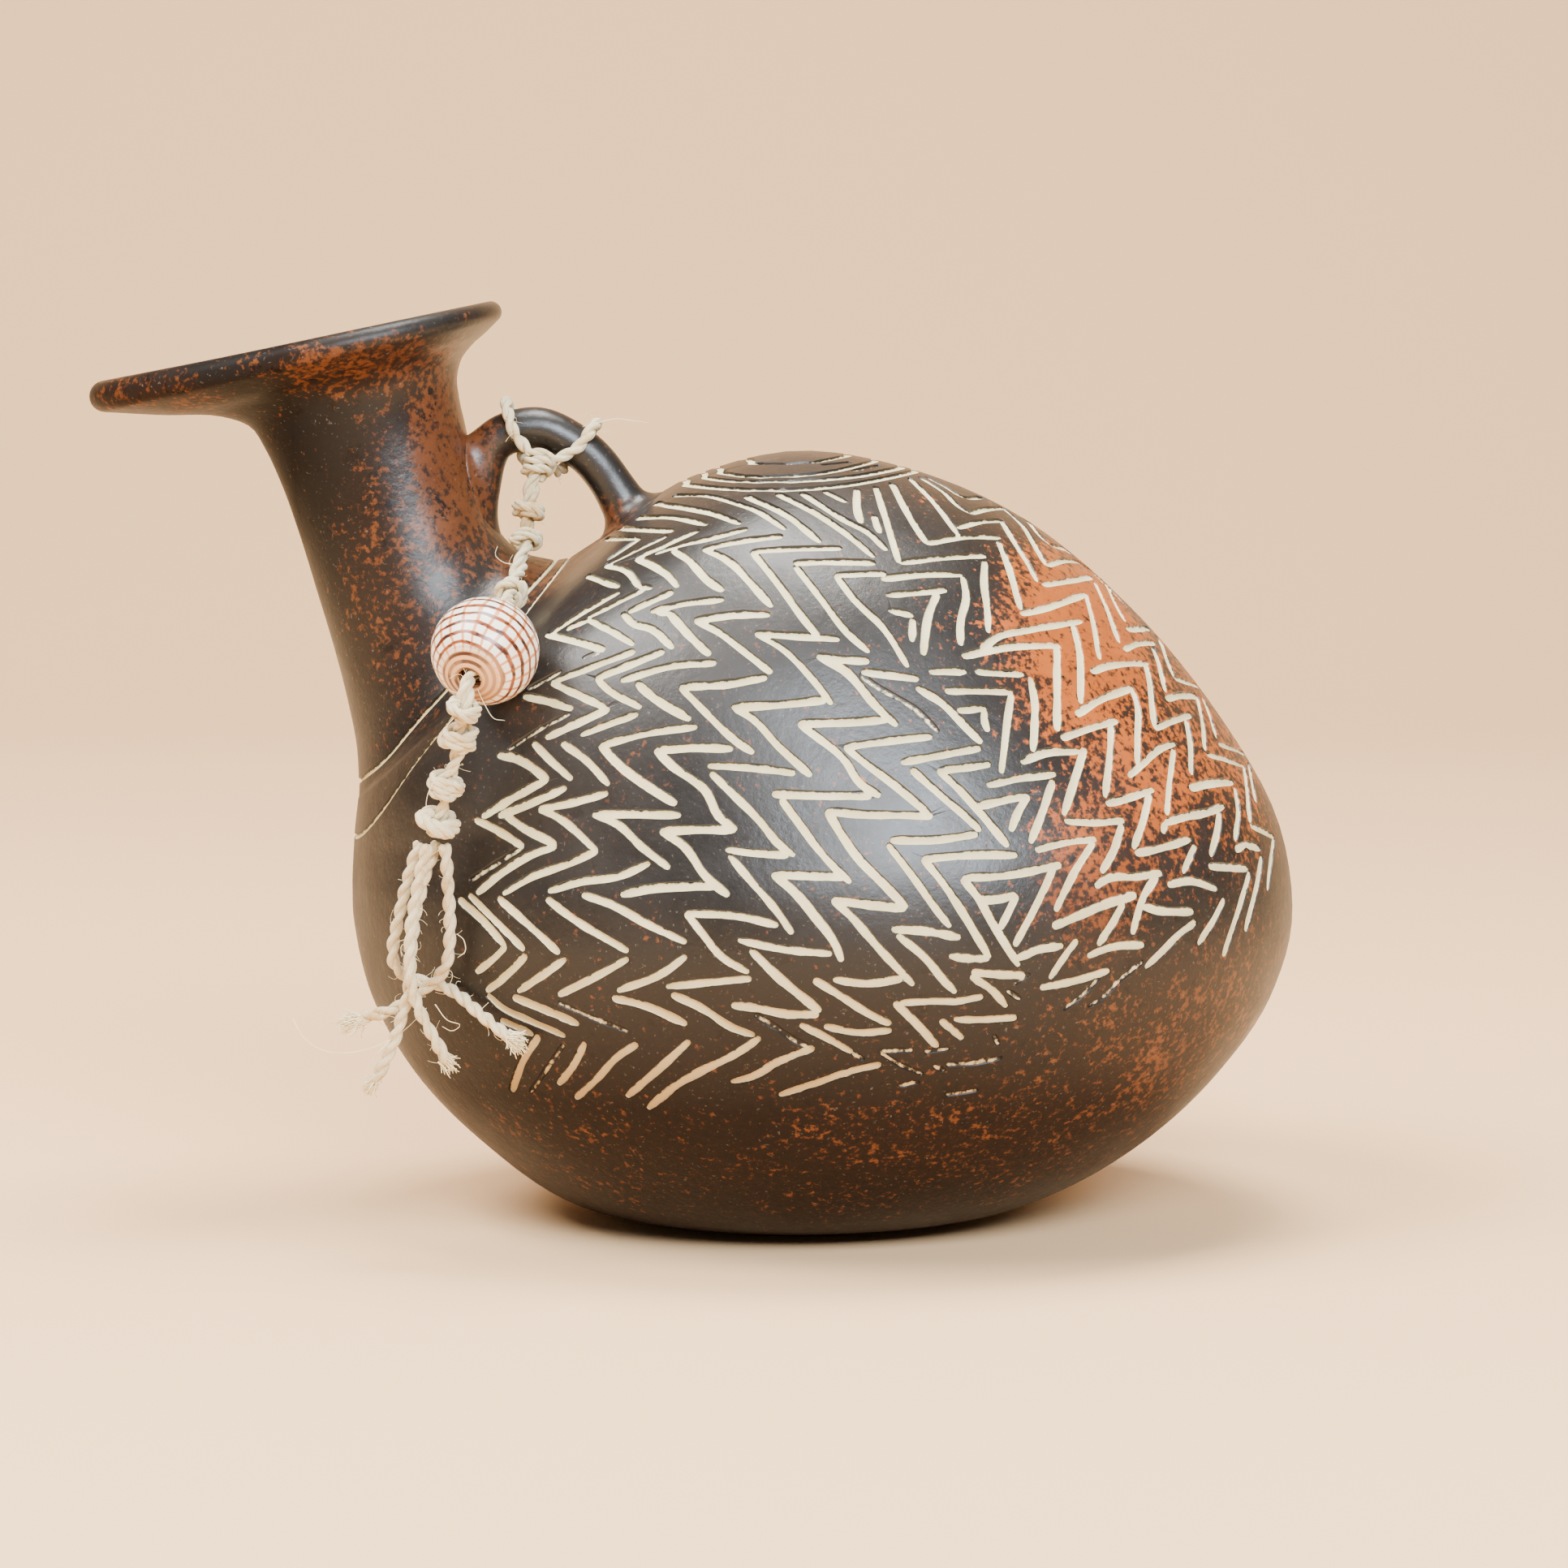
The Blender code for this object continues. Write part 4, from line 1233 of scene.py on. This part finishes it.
class Cut:
    """One cut stroke: stations along and around the pot, with its half width, depth and paste."""

    def __init__(self, along, around, width=1.0, depth=1.0, paste=1.0, closed=False, trim=0.0):
        reach = lengths_along(pot_point(along, around))
        count = max(3, math.ceil((reach[-1] - 2 * trim) / STROKE_STEP) + 1)
        far = np.linspace(trim, reach[-1] - trim, count)
        places = np.linspace(far[0], far[-1], STROKE_PLACES)

        def wander(low, high):
            """A share that wanders along the stroke."""
            return np.interp(far, places, stroke_chance.uniform(low, high, STROKE_PLACES))

        self.along, self.around = np.interp(far, reach, along), np.interp(far, reach, around)
        self.half = STROKE_WIDTH / 2 * width * wander(*UNEVEN_WIDTH)
        if not closed:
            self.half[[0, -1]] *= STROKE_ENDS
        self.depth = STROKE_DEPTH * depth * wander(*UNEVEN_DEPTH)
        self.paste = np.clip(paste * wander(*UNEVEN_PASTE), 0, 1)
        self.closed = closed
        self.around_pot = False
        self.length = reach[-1]

    def close_round_pot(self):
        """Bring both ends together under the spout."""
        self.around_pot = True
        self.around[[0, -1]] = -math.pi, math.pi
        for values in (self.along, self.half, self.depth, self.paste):
            values[-1] = values[0]


cuts, seen_cuts = [], []
for group, (paste, text) in STROKES.items():
    worn = group == "worn"
    for chain in read_chains(text):
        for run in cuts_of(chain):
            along, around = seen_on_pot(run)
            width = stroke_chance.uniform(*SEEN_WIDTHS) * (WORN_WIDTH if worn else 1.0)
            cut = Cut(along, around, width, WORN_DEPTH if worn else 1.0, paste, trim=STROKE_TRIM)
            if cut.length > SHORTEST_STROKE:
                cuts.append(cut)
                seen_cuts.append((along, around, worn, paste))

# The hidden side's strokes are the seen ones mirrored, each a little shifted. Worn ones are dropped, and
# so are those that run close to the back or under the spout.
for along, around, worn, paste in seen_cuts:
    if worn or abs(around).max() > math.pi - HIDDEN_SPOUT_GAP or abs(around).min() < HIDDEN_BACK_GAP:
        continue
    shift = stroke_chance.normal(0, HIDDEN_SHIFT / 2, 2)
    mirrored = Cut(along + shift[0] * SHIFT_UP_SHARE, -around + shift[1] / SHIFT_ARM,
                   stroke_chance.uniform(*HIDDEN_WIDTHS), 1.0, paste, trim=STROKE_TRIM)
    if mirrored.length > SHORTEST_STROKE and mirrored.around.min() > SHIFTED_BACK_GAP:
        cuts.append(mirrored)
for chain in read_chains(DOME_RINGS):
    along, around = seen_on_pot(smooth_line(chain, SEE_STEP))
    loop_along = np.concatenate((along, along[::-1], along[:1]))
    loop_around = np.concatenate((around, -around[::-1], around[:1]))
    loop = smooth_line(np.stack((loop_along, loop_around * CHART_TURN), axis=1), DOME_RING_STEP)
    cuts.append(Cut(loop[:, 0], loop[:, 1] / CHART_TURN, closed=True))
neck_highest = 0.0
blur = np.hanning(NECK_LINE_BLUR) / np.hanning(NECK_LINE_BLUR).sum()
for chain in read_chains(NECK_LINES):
    along, around = seen_on_pot(smooth_line(chain, SEE_STEP))
    order = np.argsort(np.abs(around))
    turns = np.linspace(-math.pi, math.pi, NECK_LINE_PLACES)
    heights = np.interp(np.abs(turns), np.abs(around)[order], along[order])
    heights = np.convolve(np.pad(heights, NECK_LINE_BLUR // 2, mode="wrap"), blur, mode="valid")
    cut = Cut(heights, turns, NECK_LINE_WIDTH, closed=True)
    cut.close_round_pot()
    cuts.append(cut)
    neck_highest = max(neck_highest, heights.max())

# The skin between the underside's edge and the neck is a net whose edges follow both sides of every stroke
chart, links = [], []


def add_line(along, around, closed=False):
    """Points of a line in the net, joined in order."""
    base = len(chart)
    chart.extend(zip(around * CHART_TURN * CHART_SCALE, along * CHART_SCALE))
    links.extend((base + index, base + index + 1) for index in range(len(along) - 1))
    if closed:
        links.append((base + len(along) - 1, base))


def add_ring_sides(cut, up, side, across):
    """The sides and the middle of a stroke that closes on itself."""
    loops = not cut.around_pot
    kept = slice(None, -1 if loops else None)
    for way in (1.0, -1.0):
        for inset in (0.0, STROKE_WALL):
            step_along, step_around = chart_steps(up, side, across * way * (cut.half - inset)[:, None])
            if cut.around_pot:
                step_around[[0, -1]] = 0
                step_along[-1] = step_along[0]
            add_line((cut.along + step_along)[kept], (cut.around + step_around)[kept], loops)
    add_line(cut.along[kept], cut.around[kept], loops)


def add_stroke_sides(cut, up, side, forward, across):
    """The outline, the foot of the wall and the middle of a stroke with two rounded ends."""
    for inset in (0.0, STROKE_WALL):
        reach = np.maximum(cut.half - inset, THINNEST_STROKE)
        loop_along, loop_around = [], []
        for end, way in ((-1, 1.0), (0, -1.0)):
            step_along, step_around = chart_steps(up, side, across * (-way) * reach[:, None])
            loop_along += list((cut.along + step_along)[::int(way)])
            loop_around += list((cut.around + step_around)[::int(way)])
            for lean in np.radians((-45, 0, 45)):
                turned = forward[end] * way * math.cos(lean) + across[end] * way * math.sin(lean)
                cap = chart_steps(up[[end]], side[[end]], (turned * reach[end])[None])
                loop_along.append(cut.along[end] + cap[0][0])
                loop_around.append(cut.around[end] + cap[1][0])
        add_line(np.array(loop_along), np.array(loop_around), True)
    add_line(cut.along, cut.around)


centres, half_widths, depths, pastes = [], [], [], []
for cut in cuts:
    up, side, normal = pot_slopes(cut.along, cut.around)
    forward = np.gradient(pot_point(cut.along, cut.around), axis=0)
    forward = unit(forward - normal * (forward * normal).sum(1, keepdims=True))
    if cut.around_pot:
        forward[[0, -1]] = (0.0, -1.0, 0.0)
    across = np.cross(normal, forward)
    if cut.closed:
        add_ring_sides(cut, up, side, across)
    else:
        add_stroke_sides(cut, up, side, forward, across)
    index = np.arange(len(cut.along))
    fine = np.linspace(0, len(cut.along) - 1, max(2, math.ceil(cut.length / SAMPLE_STEP)))
    centres.append(pot_point(np.interp(fine, index, cut.along), np.interp(fine, index, cut.around)))
    half_widths.append(np.interp(fine, index, cut.half))
    depths.append(np.interp(fine, index, cut.depth))
    pastes.append(np.interp(fine, index, cut.paste))
centres = np.concatenate(centres)
half_widths, depths, pastes = map(np.concatenate, (half_widths, depths, pastes))
stroke_tree = KDTree(len(centres))
for index, centre in enumerate(centres):
    stroke_tree.insert(centre, index)
stroke_tree.balance()


def add_if_clear(turn, level, point):
    """A point of the plain skin between the strokes."""
    _, index, away = stroke_tree.find(point)
    if away > half_widths[index] + CLEAR_OF_STROKE:
        chart.append((turn * CHART_TURN * CHART_SCALE, level * CHART_SCALE))


collar = neck_highest + COLLAR_GAP
seam = math.pi * CHART_TURN * CHART_SCALE
add_line(np.zeros(BASE_SIDES + 1), np.linspace(-math.pi, math.pi, BASE_SIDES + 1))
add_line(np.full(NECK_SIDES + 1, collar), np.linspace(-math.pi, math.pi, NECK_SIDES + 1))
levels = np.linspace(0, collar, math.ceil(collar / (SKIN_STEP * SKIN_ROW_SHARE)) + 1)
for row, level in enumerate(levels[1:-1]):
    ring = pot_point(np.full(RING_SAMPLES, level), np.linspace(-math.pi, math.pi, RING_SAMPLES))
    count = max(FEWEST_SIDES, round(lengths_along(ring)[-1] / SKIN_STEP))
    turns = -math.pi + (np.arange(count) + 0.5 * (row % 2) + 0.25) * 2 * math.pi / count
    for turn, point in zip(turns, pot_point(np.full(count, level), turns)):
        add_if_clear(turn, level, point)
    for end in (-math.pi, math.pi):
        add_if_clear(end, level, pot_point(np.array([level]), np.array([end]))[0])

net_points, _, net_faces, _, _, _ = delaunay_2d_cdt([Vector(point) for point in chart], links, [], 0,
                                                    CHART_CLOSE)
net = np.array([tuple(point) for point in net_points])
net_along, net_around = net[:, 1] / CHART_SCALE, net[:, 0] / CHART_SCALE / CHART_TURN
outer = pot_point(net_along, net_around)
_, _, outer_normal = pot_slopes(net_along, net_around)
sink, fill = np.zeros(len(outer)), np.zeros(len(outer))
uphill = unit(np.array((0.0, 0.0, 1.0)) - outer_normal * outer_normal[:, 2:3] + 1e-9)
for index, point in enumerate(outer):
    for centre, sample, away in stroke_tree.find_range(Vector(point), LARGEST_REACH):
        half = half_widths[sample]
        if away < half:
            share = min((half - away) / STROKE_WALL, 1.0)
            # On each stroke's upper wall less paste shows: a painted shadow cast by the groove's upper edge
            above = np.dot(point - np.array(centre), uphill[index]) / max(away, 1e-5)
            wall_paste_under_painted_shadow = PASTE_AT_WALL - UPPER_EDGE_PAINTED_SHADOW * above
            floor_share = min(away / (half - STROKE_WALL), 1.0)
            dished = 1 - FLOOR_DISH + FLOOR_DISH * (1 - floor_share ** 2)
            sink[index] = max(sink[index], depths[sample] * share * dished)
            fill[index] = max(fill[index], pastes[sample] * share * (1 + (wall_paste_under_painted_shadow - 1) * floor_share))
outer = outer - outer_normal * sink[:, None]

# The seam under the spout is closed by joining both sides of the net, point to point
right = np.where(net[:, 0] > seam - SEAM_CLOSE)[0]
left = np.where(net[:, 0] < -seam + SEAM_CLOSE)[0]
joined = np.arange(len(outer))
joined[right[np.argsort(net[right, 1])]] = left[np.argsort(net[left, 1])]

points = list(outer)
paste = list(fill)
faces = []
for face in net_faces:
    face = [int(joined[index]) for index in face]
    if len(set(face)) == len(face):
        faces.append(tuple(face))
net_count = len(faces)


def add_ring(ring):
    """A ring of points, given in order of angle from under the spout."""
    base = len(points)
    points.extend(ring)
    paste.extend([0.0] * len(ring))
    return list(range(base, base + len(ring)))


def join_rings(lower, upper):
    """A band of faces between two rings with the same number of points."""
    for side in range(len(lower)):
        after = (side + 1) % len(lower)
        faces.append((lower[side], lower[after], upper[after], upper[side]))


def border(level):
    """The net's points on one of its two straight borders, in order of angle."""
    found = np.where(np.abs(net[:, 1] - level * CHART_SCALE) < CHART_CLOSE)[0]
    found = found[np.argsort(net[found, 0])]
    found = [int(joined[index]) for index in found]
    return found[:-1] if found[0] == found[-1] else found


# Neck, rounded lip and the inside, down to the inner floor
turns = np.linspace(-math.pi, math.pi, NECK_SIDES, endpoint=False)


def skin_ring(level):
    """Places and normals of the outer skin round one level."""
    flat = np.full(len(turns), level)
    return pot_point(flat, turns), pot_slopes(flat, turns)[2]


def wall_at(level):
    """The wall's thickness round one level: even, and running out to the lip's edge."""
    lip = np.clip((level - neck_top) / (rim - neck_top), 0, 1)
    edge = LIP_BACK_THICKNESS + (LIP_FRONT_THICKNESS - LIP_BACK_THICKNESS) * (1 - np.cos(turns)) / 2
    return WALL + (edge - WALL) * lip


last = border(collar)
levels = np.linspace(collar, rim, math.ceil((rim - collar) / NECK_STEP) + 1)
for level in levels[1:]:
    ring = add_ring(skin_ring(level)[0])
    join_rings(last, ring)
    last = ring
edge, normal = skin_ring(rim)
rise = edge - skin_ring(levels[-2])[0]
rise = unit(rise - normal * (rise * normal).sum(1, keepdims=True))
thickness = wall_at(rim)[:, None]
for step in range(1, LIP_STEPS):
    turn = math.pi * step / LIP_STEPS
    outwards = math.cos(turn) * normal + math.sin(turn) * rise
    ring = add_ring(edge - normal * thickness / 2 + thickness / 2 * outwards)
    join_rings(last, ring)
    last = ring
for level in np.linspace(rim, 0, math.ceil(rim / INNER_STEP) + 1):
    skin, normal = skin_ring(level)
    inner = skin - normal * wall_at(level)[:, None]
    inner[:, 2] = np.maximum(inner[:, 2], WALL)
    ring = add_ring(inner)
    join_rings(last, ring)
    last = ring
middle = add_ring([np.mean([points[index] for index in last], axis=0)])[0]
faces += [(last[side], last[(side + 1) % len(last)], middle) for side in range(len(last))]

# Underside: a narrow rounded foot round a very slightly hollow floor
foot = border(0.0)
last = foot
for share, height in FOOT_RINGS:
    ring = add_ring([np.array([points[index][0] * share, points[index][1] * share, height])
                     for index in foot])
    join_rings(ring, last)
    last = ring
middle = add_ring([np.array([0.0, 0.0, FLOOR_MIDDLE])])[0]
faces += [(last[(side + 1) % len(last)], last[side], middle) for side in range(len(last))]


def nearest_skin(point):
    """The nearest place on the outer skin, and its normal."""
    near, normal, _, _ = pot_tree.find_nearest(Vector(point))
    return np.array(near), np.array(normal)


# Handle: a round bar whose two ends ease out on to the neck and the dome, as a luted joint does
bar_path = even_route(handle_rows, BAR_STEP)
share = np.linspace(0, 1, len(bar_path))
flare = np.clip((share - HANDLE_FOOT_START) / (1 - HANDLE_FOOT_START), 0, 1) ** 2
bar_radii = HANDLE_BAR / 2 * (1 + (HANDLE_FOOT_FLARE - 1) * flare)
bar_up = np.cross(unit(np.gradient(bar_path, axis=0)), (0, 1, 0))
last = None
for centre, radius, up in zip(bar_path, bar_radii, bar_up):
    ring = []
    for turn in np.linspace(0, 2 * math.pi, BAR_SIDES, endpoint=False):
        radial = math.cos(turn) * up + math.sin(turn) * np.array((0, 1, 0))
        point = centre + radius * radial
        near, normal = nearest_skin(point)
        height = np.dot(point - near, normal)
        if height < FILLET:
            ease = FILLET - math.sqrt(max(FILLET ** 2 - (FILLET - max(height, 0.0)) ** 2, 0.0))
            point = point + (radial - normal * np.dot(radial, normal)) * ease
        if height < 0:
            near, normal = nearest_skin(point)
            point = near - normal * min(max(-height, JUST_BURIED), BURIED)
        ring.append(point)
    ring = add_ring(ring)
    if last is None:
        faces.append(tuple(ring))
    else:
        join_rings(last, ring)
    last = ring
faces.append(tuple(reversed(last)))

# The clay: charcoal, browner and darker low down, the darkening partly painted shade towards the underside,
# with flakes of the fire's orange gathered on the neck, the lower right and one large flash on the right.
# Each patch: its centre, its reach and how full it is.
FIRE_PATCHES = (
    ((0.052, -0.045, 0.114), (0.017, 0.050, 0.022), 0.86),
    ((0.062, -0.035, 0.090), (0.014, 0.060, 0.022), 0.54),
    ((0.080, -0.020, 0.100), (0.020, 0.080, 0.030), 0.50),
    ((0.051, -0.045, 0.072), (0.011, 0.050, 0.018), 0.60),
    ((0.070, -0.010, 0.042), (0.034, 0.085, 0.020), 0.37),
    ((0.040, -0.035, 0.026), (0.050, 0.080, 0.014), 0.23),
    ((-0.064, -0.004, 0.140), (0.009, 0.030, 0.022), 0.78),
    ((-0.072, -0.018, 0.124), (0.012, 0.022, 0.030), 0.38),
    ((-0.070, -0.020, 0.158), (0.026, 0.040, 0.006), 0.52),
    ((-0.120, -0.020, 0.152), (0.018, 0.030, 0.007), 0.38),
    ((-0.034, -0.002, 0.128), (0.008, 0.010, 0.006), 0.60),
    ((-0.048, -0.010, 0.118), (0.012, 0.012, 0.008), 0.60),
    ((-0.010, -0.020, 0.018), (0.070, 0.070, 0.014), 0.12),
)
clay, tree, shader = new_material("burnished_clay_with_paste")
where = shade(tree, "TexCoord").outputs["Object"]
spot = shade(tree, "SeparateXYZ", {0: where})
lengthways, upwards = spot.outputs["X"], spot.outputs["Z"]
mottle = noise(tree, where, 38.0, 8.0, 0.62)
speckle = noise(tree, where, 760.0, 4.0, 0.6)
blotch = noise(tree, where, 120.0, 6.0, 0.66)

# Where the fire left flakes: the patches together, broken up by noise of three sizes
coverage = None
for centre, reach, full in FIRE_PATCHES:
    moved = shade(tree, "VectorMath", {0: where, 1: centre}, operation="SUBTRACT")
    scaled = shade(tree, "VectorMath", {0: moved.outputs[0], 1: reach}, operation="DIVIDE")
    away = shade(tree, "VectorMath", {0: scaled.outputs[0]}, operation="LENGTH")
    patch = fade(tree, away.outputs["Value"], 1.55, 0.45, end=full, ease="SMOOTHSTEP")
    coverage = patch if coverage is None else calc(tree, "MAXIMUM", coverage, patch)
flakes = calc(tree, "MULTIPLY_ADD", speckle, 2.8, blotch)
uneven = calc(tree, "MULTIPLY_ADD", mottle, 0.5, calc(tree, "SUBTRACT", coverage, 0.25))
fired = fade(tree, calc(tree, "ADD", uneven, flakes), 2.22, 2.66, ease="SMOOTHSTEP")

# Charcoal above, browner and darker below (the brown partly the clay's own, the darkening partly painted
# shade towards the underside), a warmer ground under the flakes, then soot and dust
charcoal = blend_colours(tree, mottle, srgb(16, 14, 13), srgb(38, 34, 31))
brown = blend_colours(tree, speckle, srgb(12, 6, 3), srgb(40, 22, 11))
# Darker towards the underside: painted shade, mixed with the clay's own brown
low = calc(tree, "MULTIPLY", fade(tree, upwards, 0.062, 0.018), 0.8)
ground = blend_colours(tree, low, charcoal, brown)
warm = fade(tree, coverage, 0.12, 0.66, end=0.55)
warmed = blend_colours(tree, warm, ground, srgb(54, 33, 21))
rust = blend_colours(tree, blotch, srgb(64, 32, 15), srgb(116, 68, 38))
orange = blend_colours(tree, blotch, srgb(122, 56, 16), srgb(180, 94, 32))
hot = calc(tree, "MULTIPLY", fade(tree, upwards, 0.058, 0.084), fade(tree, lengthways, 0.0, 0.02))
flamed = blend_colours(tree, fired, warmed, blend_colours(tree, hot, rust, orange))
sooty = blend_colours(tree, soil_on(tree, where, 300.0, 0.20, 0.06), flamed, srgb(24, 18, 15))
dust = fade(tree, noise(tree, where, 1500.0), 0.66, 0.76, end=0.22)
dusty = blend_colours(tree, dust, sooty, srgb(150, 140, 128))

# Paste: cream, darker and tan low down as painted shade towards the underside, and crumbled away where a
# stroke is worn
filled = shade(tree, "Attribute", attribute_name="paste").outputs["Fac"]
cream = blend_colours(tree, blotch, srgb(194, 177, 124), srgb(242, 232, 192))
# Painted shade: the paste darkens to tan towards the underside
paste_with_painted_low_shade = blend_colours(tree, fade(tree, upwards, 0.062, 0.026), cream, srgb(160, 126, 78))
crumbled = calc(tree, "MULTIPLY_ADD", calc(tree, "SUBTRACT", speckle, 0.5), 0.9, filled)
paste_mask = fade(tree, crumbled, 0.36, 0.50)
tree.links.new(blend_colours(tree, paste_mask, dusty, paste_with_painted_low_shade), shader.inputs["Base Color"])


def clay_or_paste(on_clay, on_paste):
    """A value that is one thing on the clay and another on the paste."""
    return shade(tree, "Mix", {0: paste_mask, 2: on_clay, 3: on_paste}, data_type="FLOAT").outputs[0]


# The burnish is best on the belly and duller towards the underside and on the neck
burnish = fade(tree, mottle, 0.3, 0.7, 0.30, 0.46)
tree.links.new(clay_or_paste(burnish, 0.9), shader.inputs["Roughness"])
polish = calc(tree, "MULTIPLY", fade(tree, upwards, 0.030, 0.075, 0.08, 0.55),
              fade(tree, lengthways, -0.092, -0.056, 0.04))
tree.links.new(clay_or_paste(polish, 0.2), shader.inputs["Specular IOR Level"])
relief = bumps(tree, noise(tree, where, 900.0, 5.0, 0.6), 0.00010, 0.55)
tree.links.new(bumps(tree, mottle, 0.0006, 0.6, Normal=relief), shader.inputs["Normal"])

vessel = new_piece("vessel_clay", points, faces, clay)
layer = vessel.data.attributes.new("paste", "FLOAT", "POINT")
layer.data.foreach_set("value", np.array(paste, dtype=np.float32))

# Smooth skin between the strokes, crisp walls inside them
normals = np.zeros((len(vessel.data.loops), 3))
points = np.array([tuple(point) for point in points])
for number, face in enumerate(faces[:net_count]):
    index = list(face)
    corners = slice(3 * number, 3 * number + 3)
    normals[corners] = outer_normal[index]
    deep = [fill[i] > LEAST_PASTE for i in index]
    if any(deep) and not all(deep):
        a, b, c = points[index]
        flat = np.cross(b - a, c - a)
        size = np.linalg.norm(flat)
        if size > 1e-12:
            normals[corners] = flat / size
vessel.data.normals_split_custom_set([tuple(normal) for normal in normals])
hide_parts("vessel")
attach(vessel, "root")
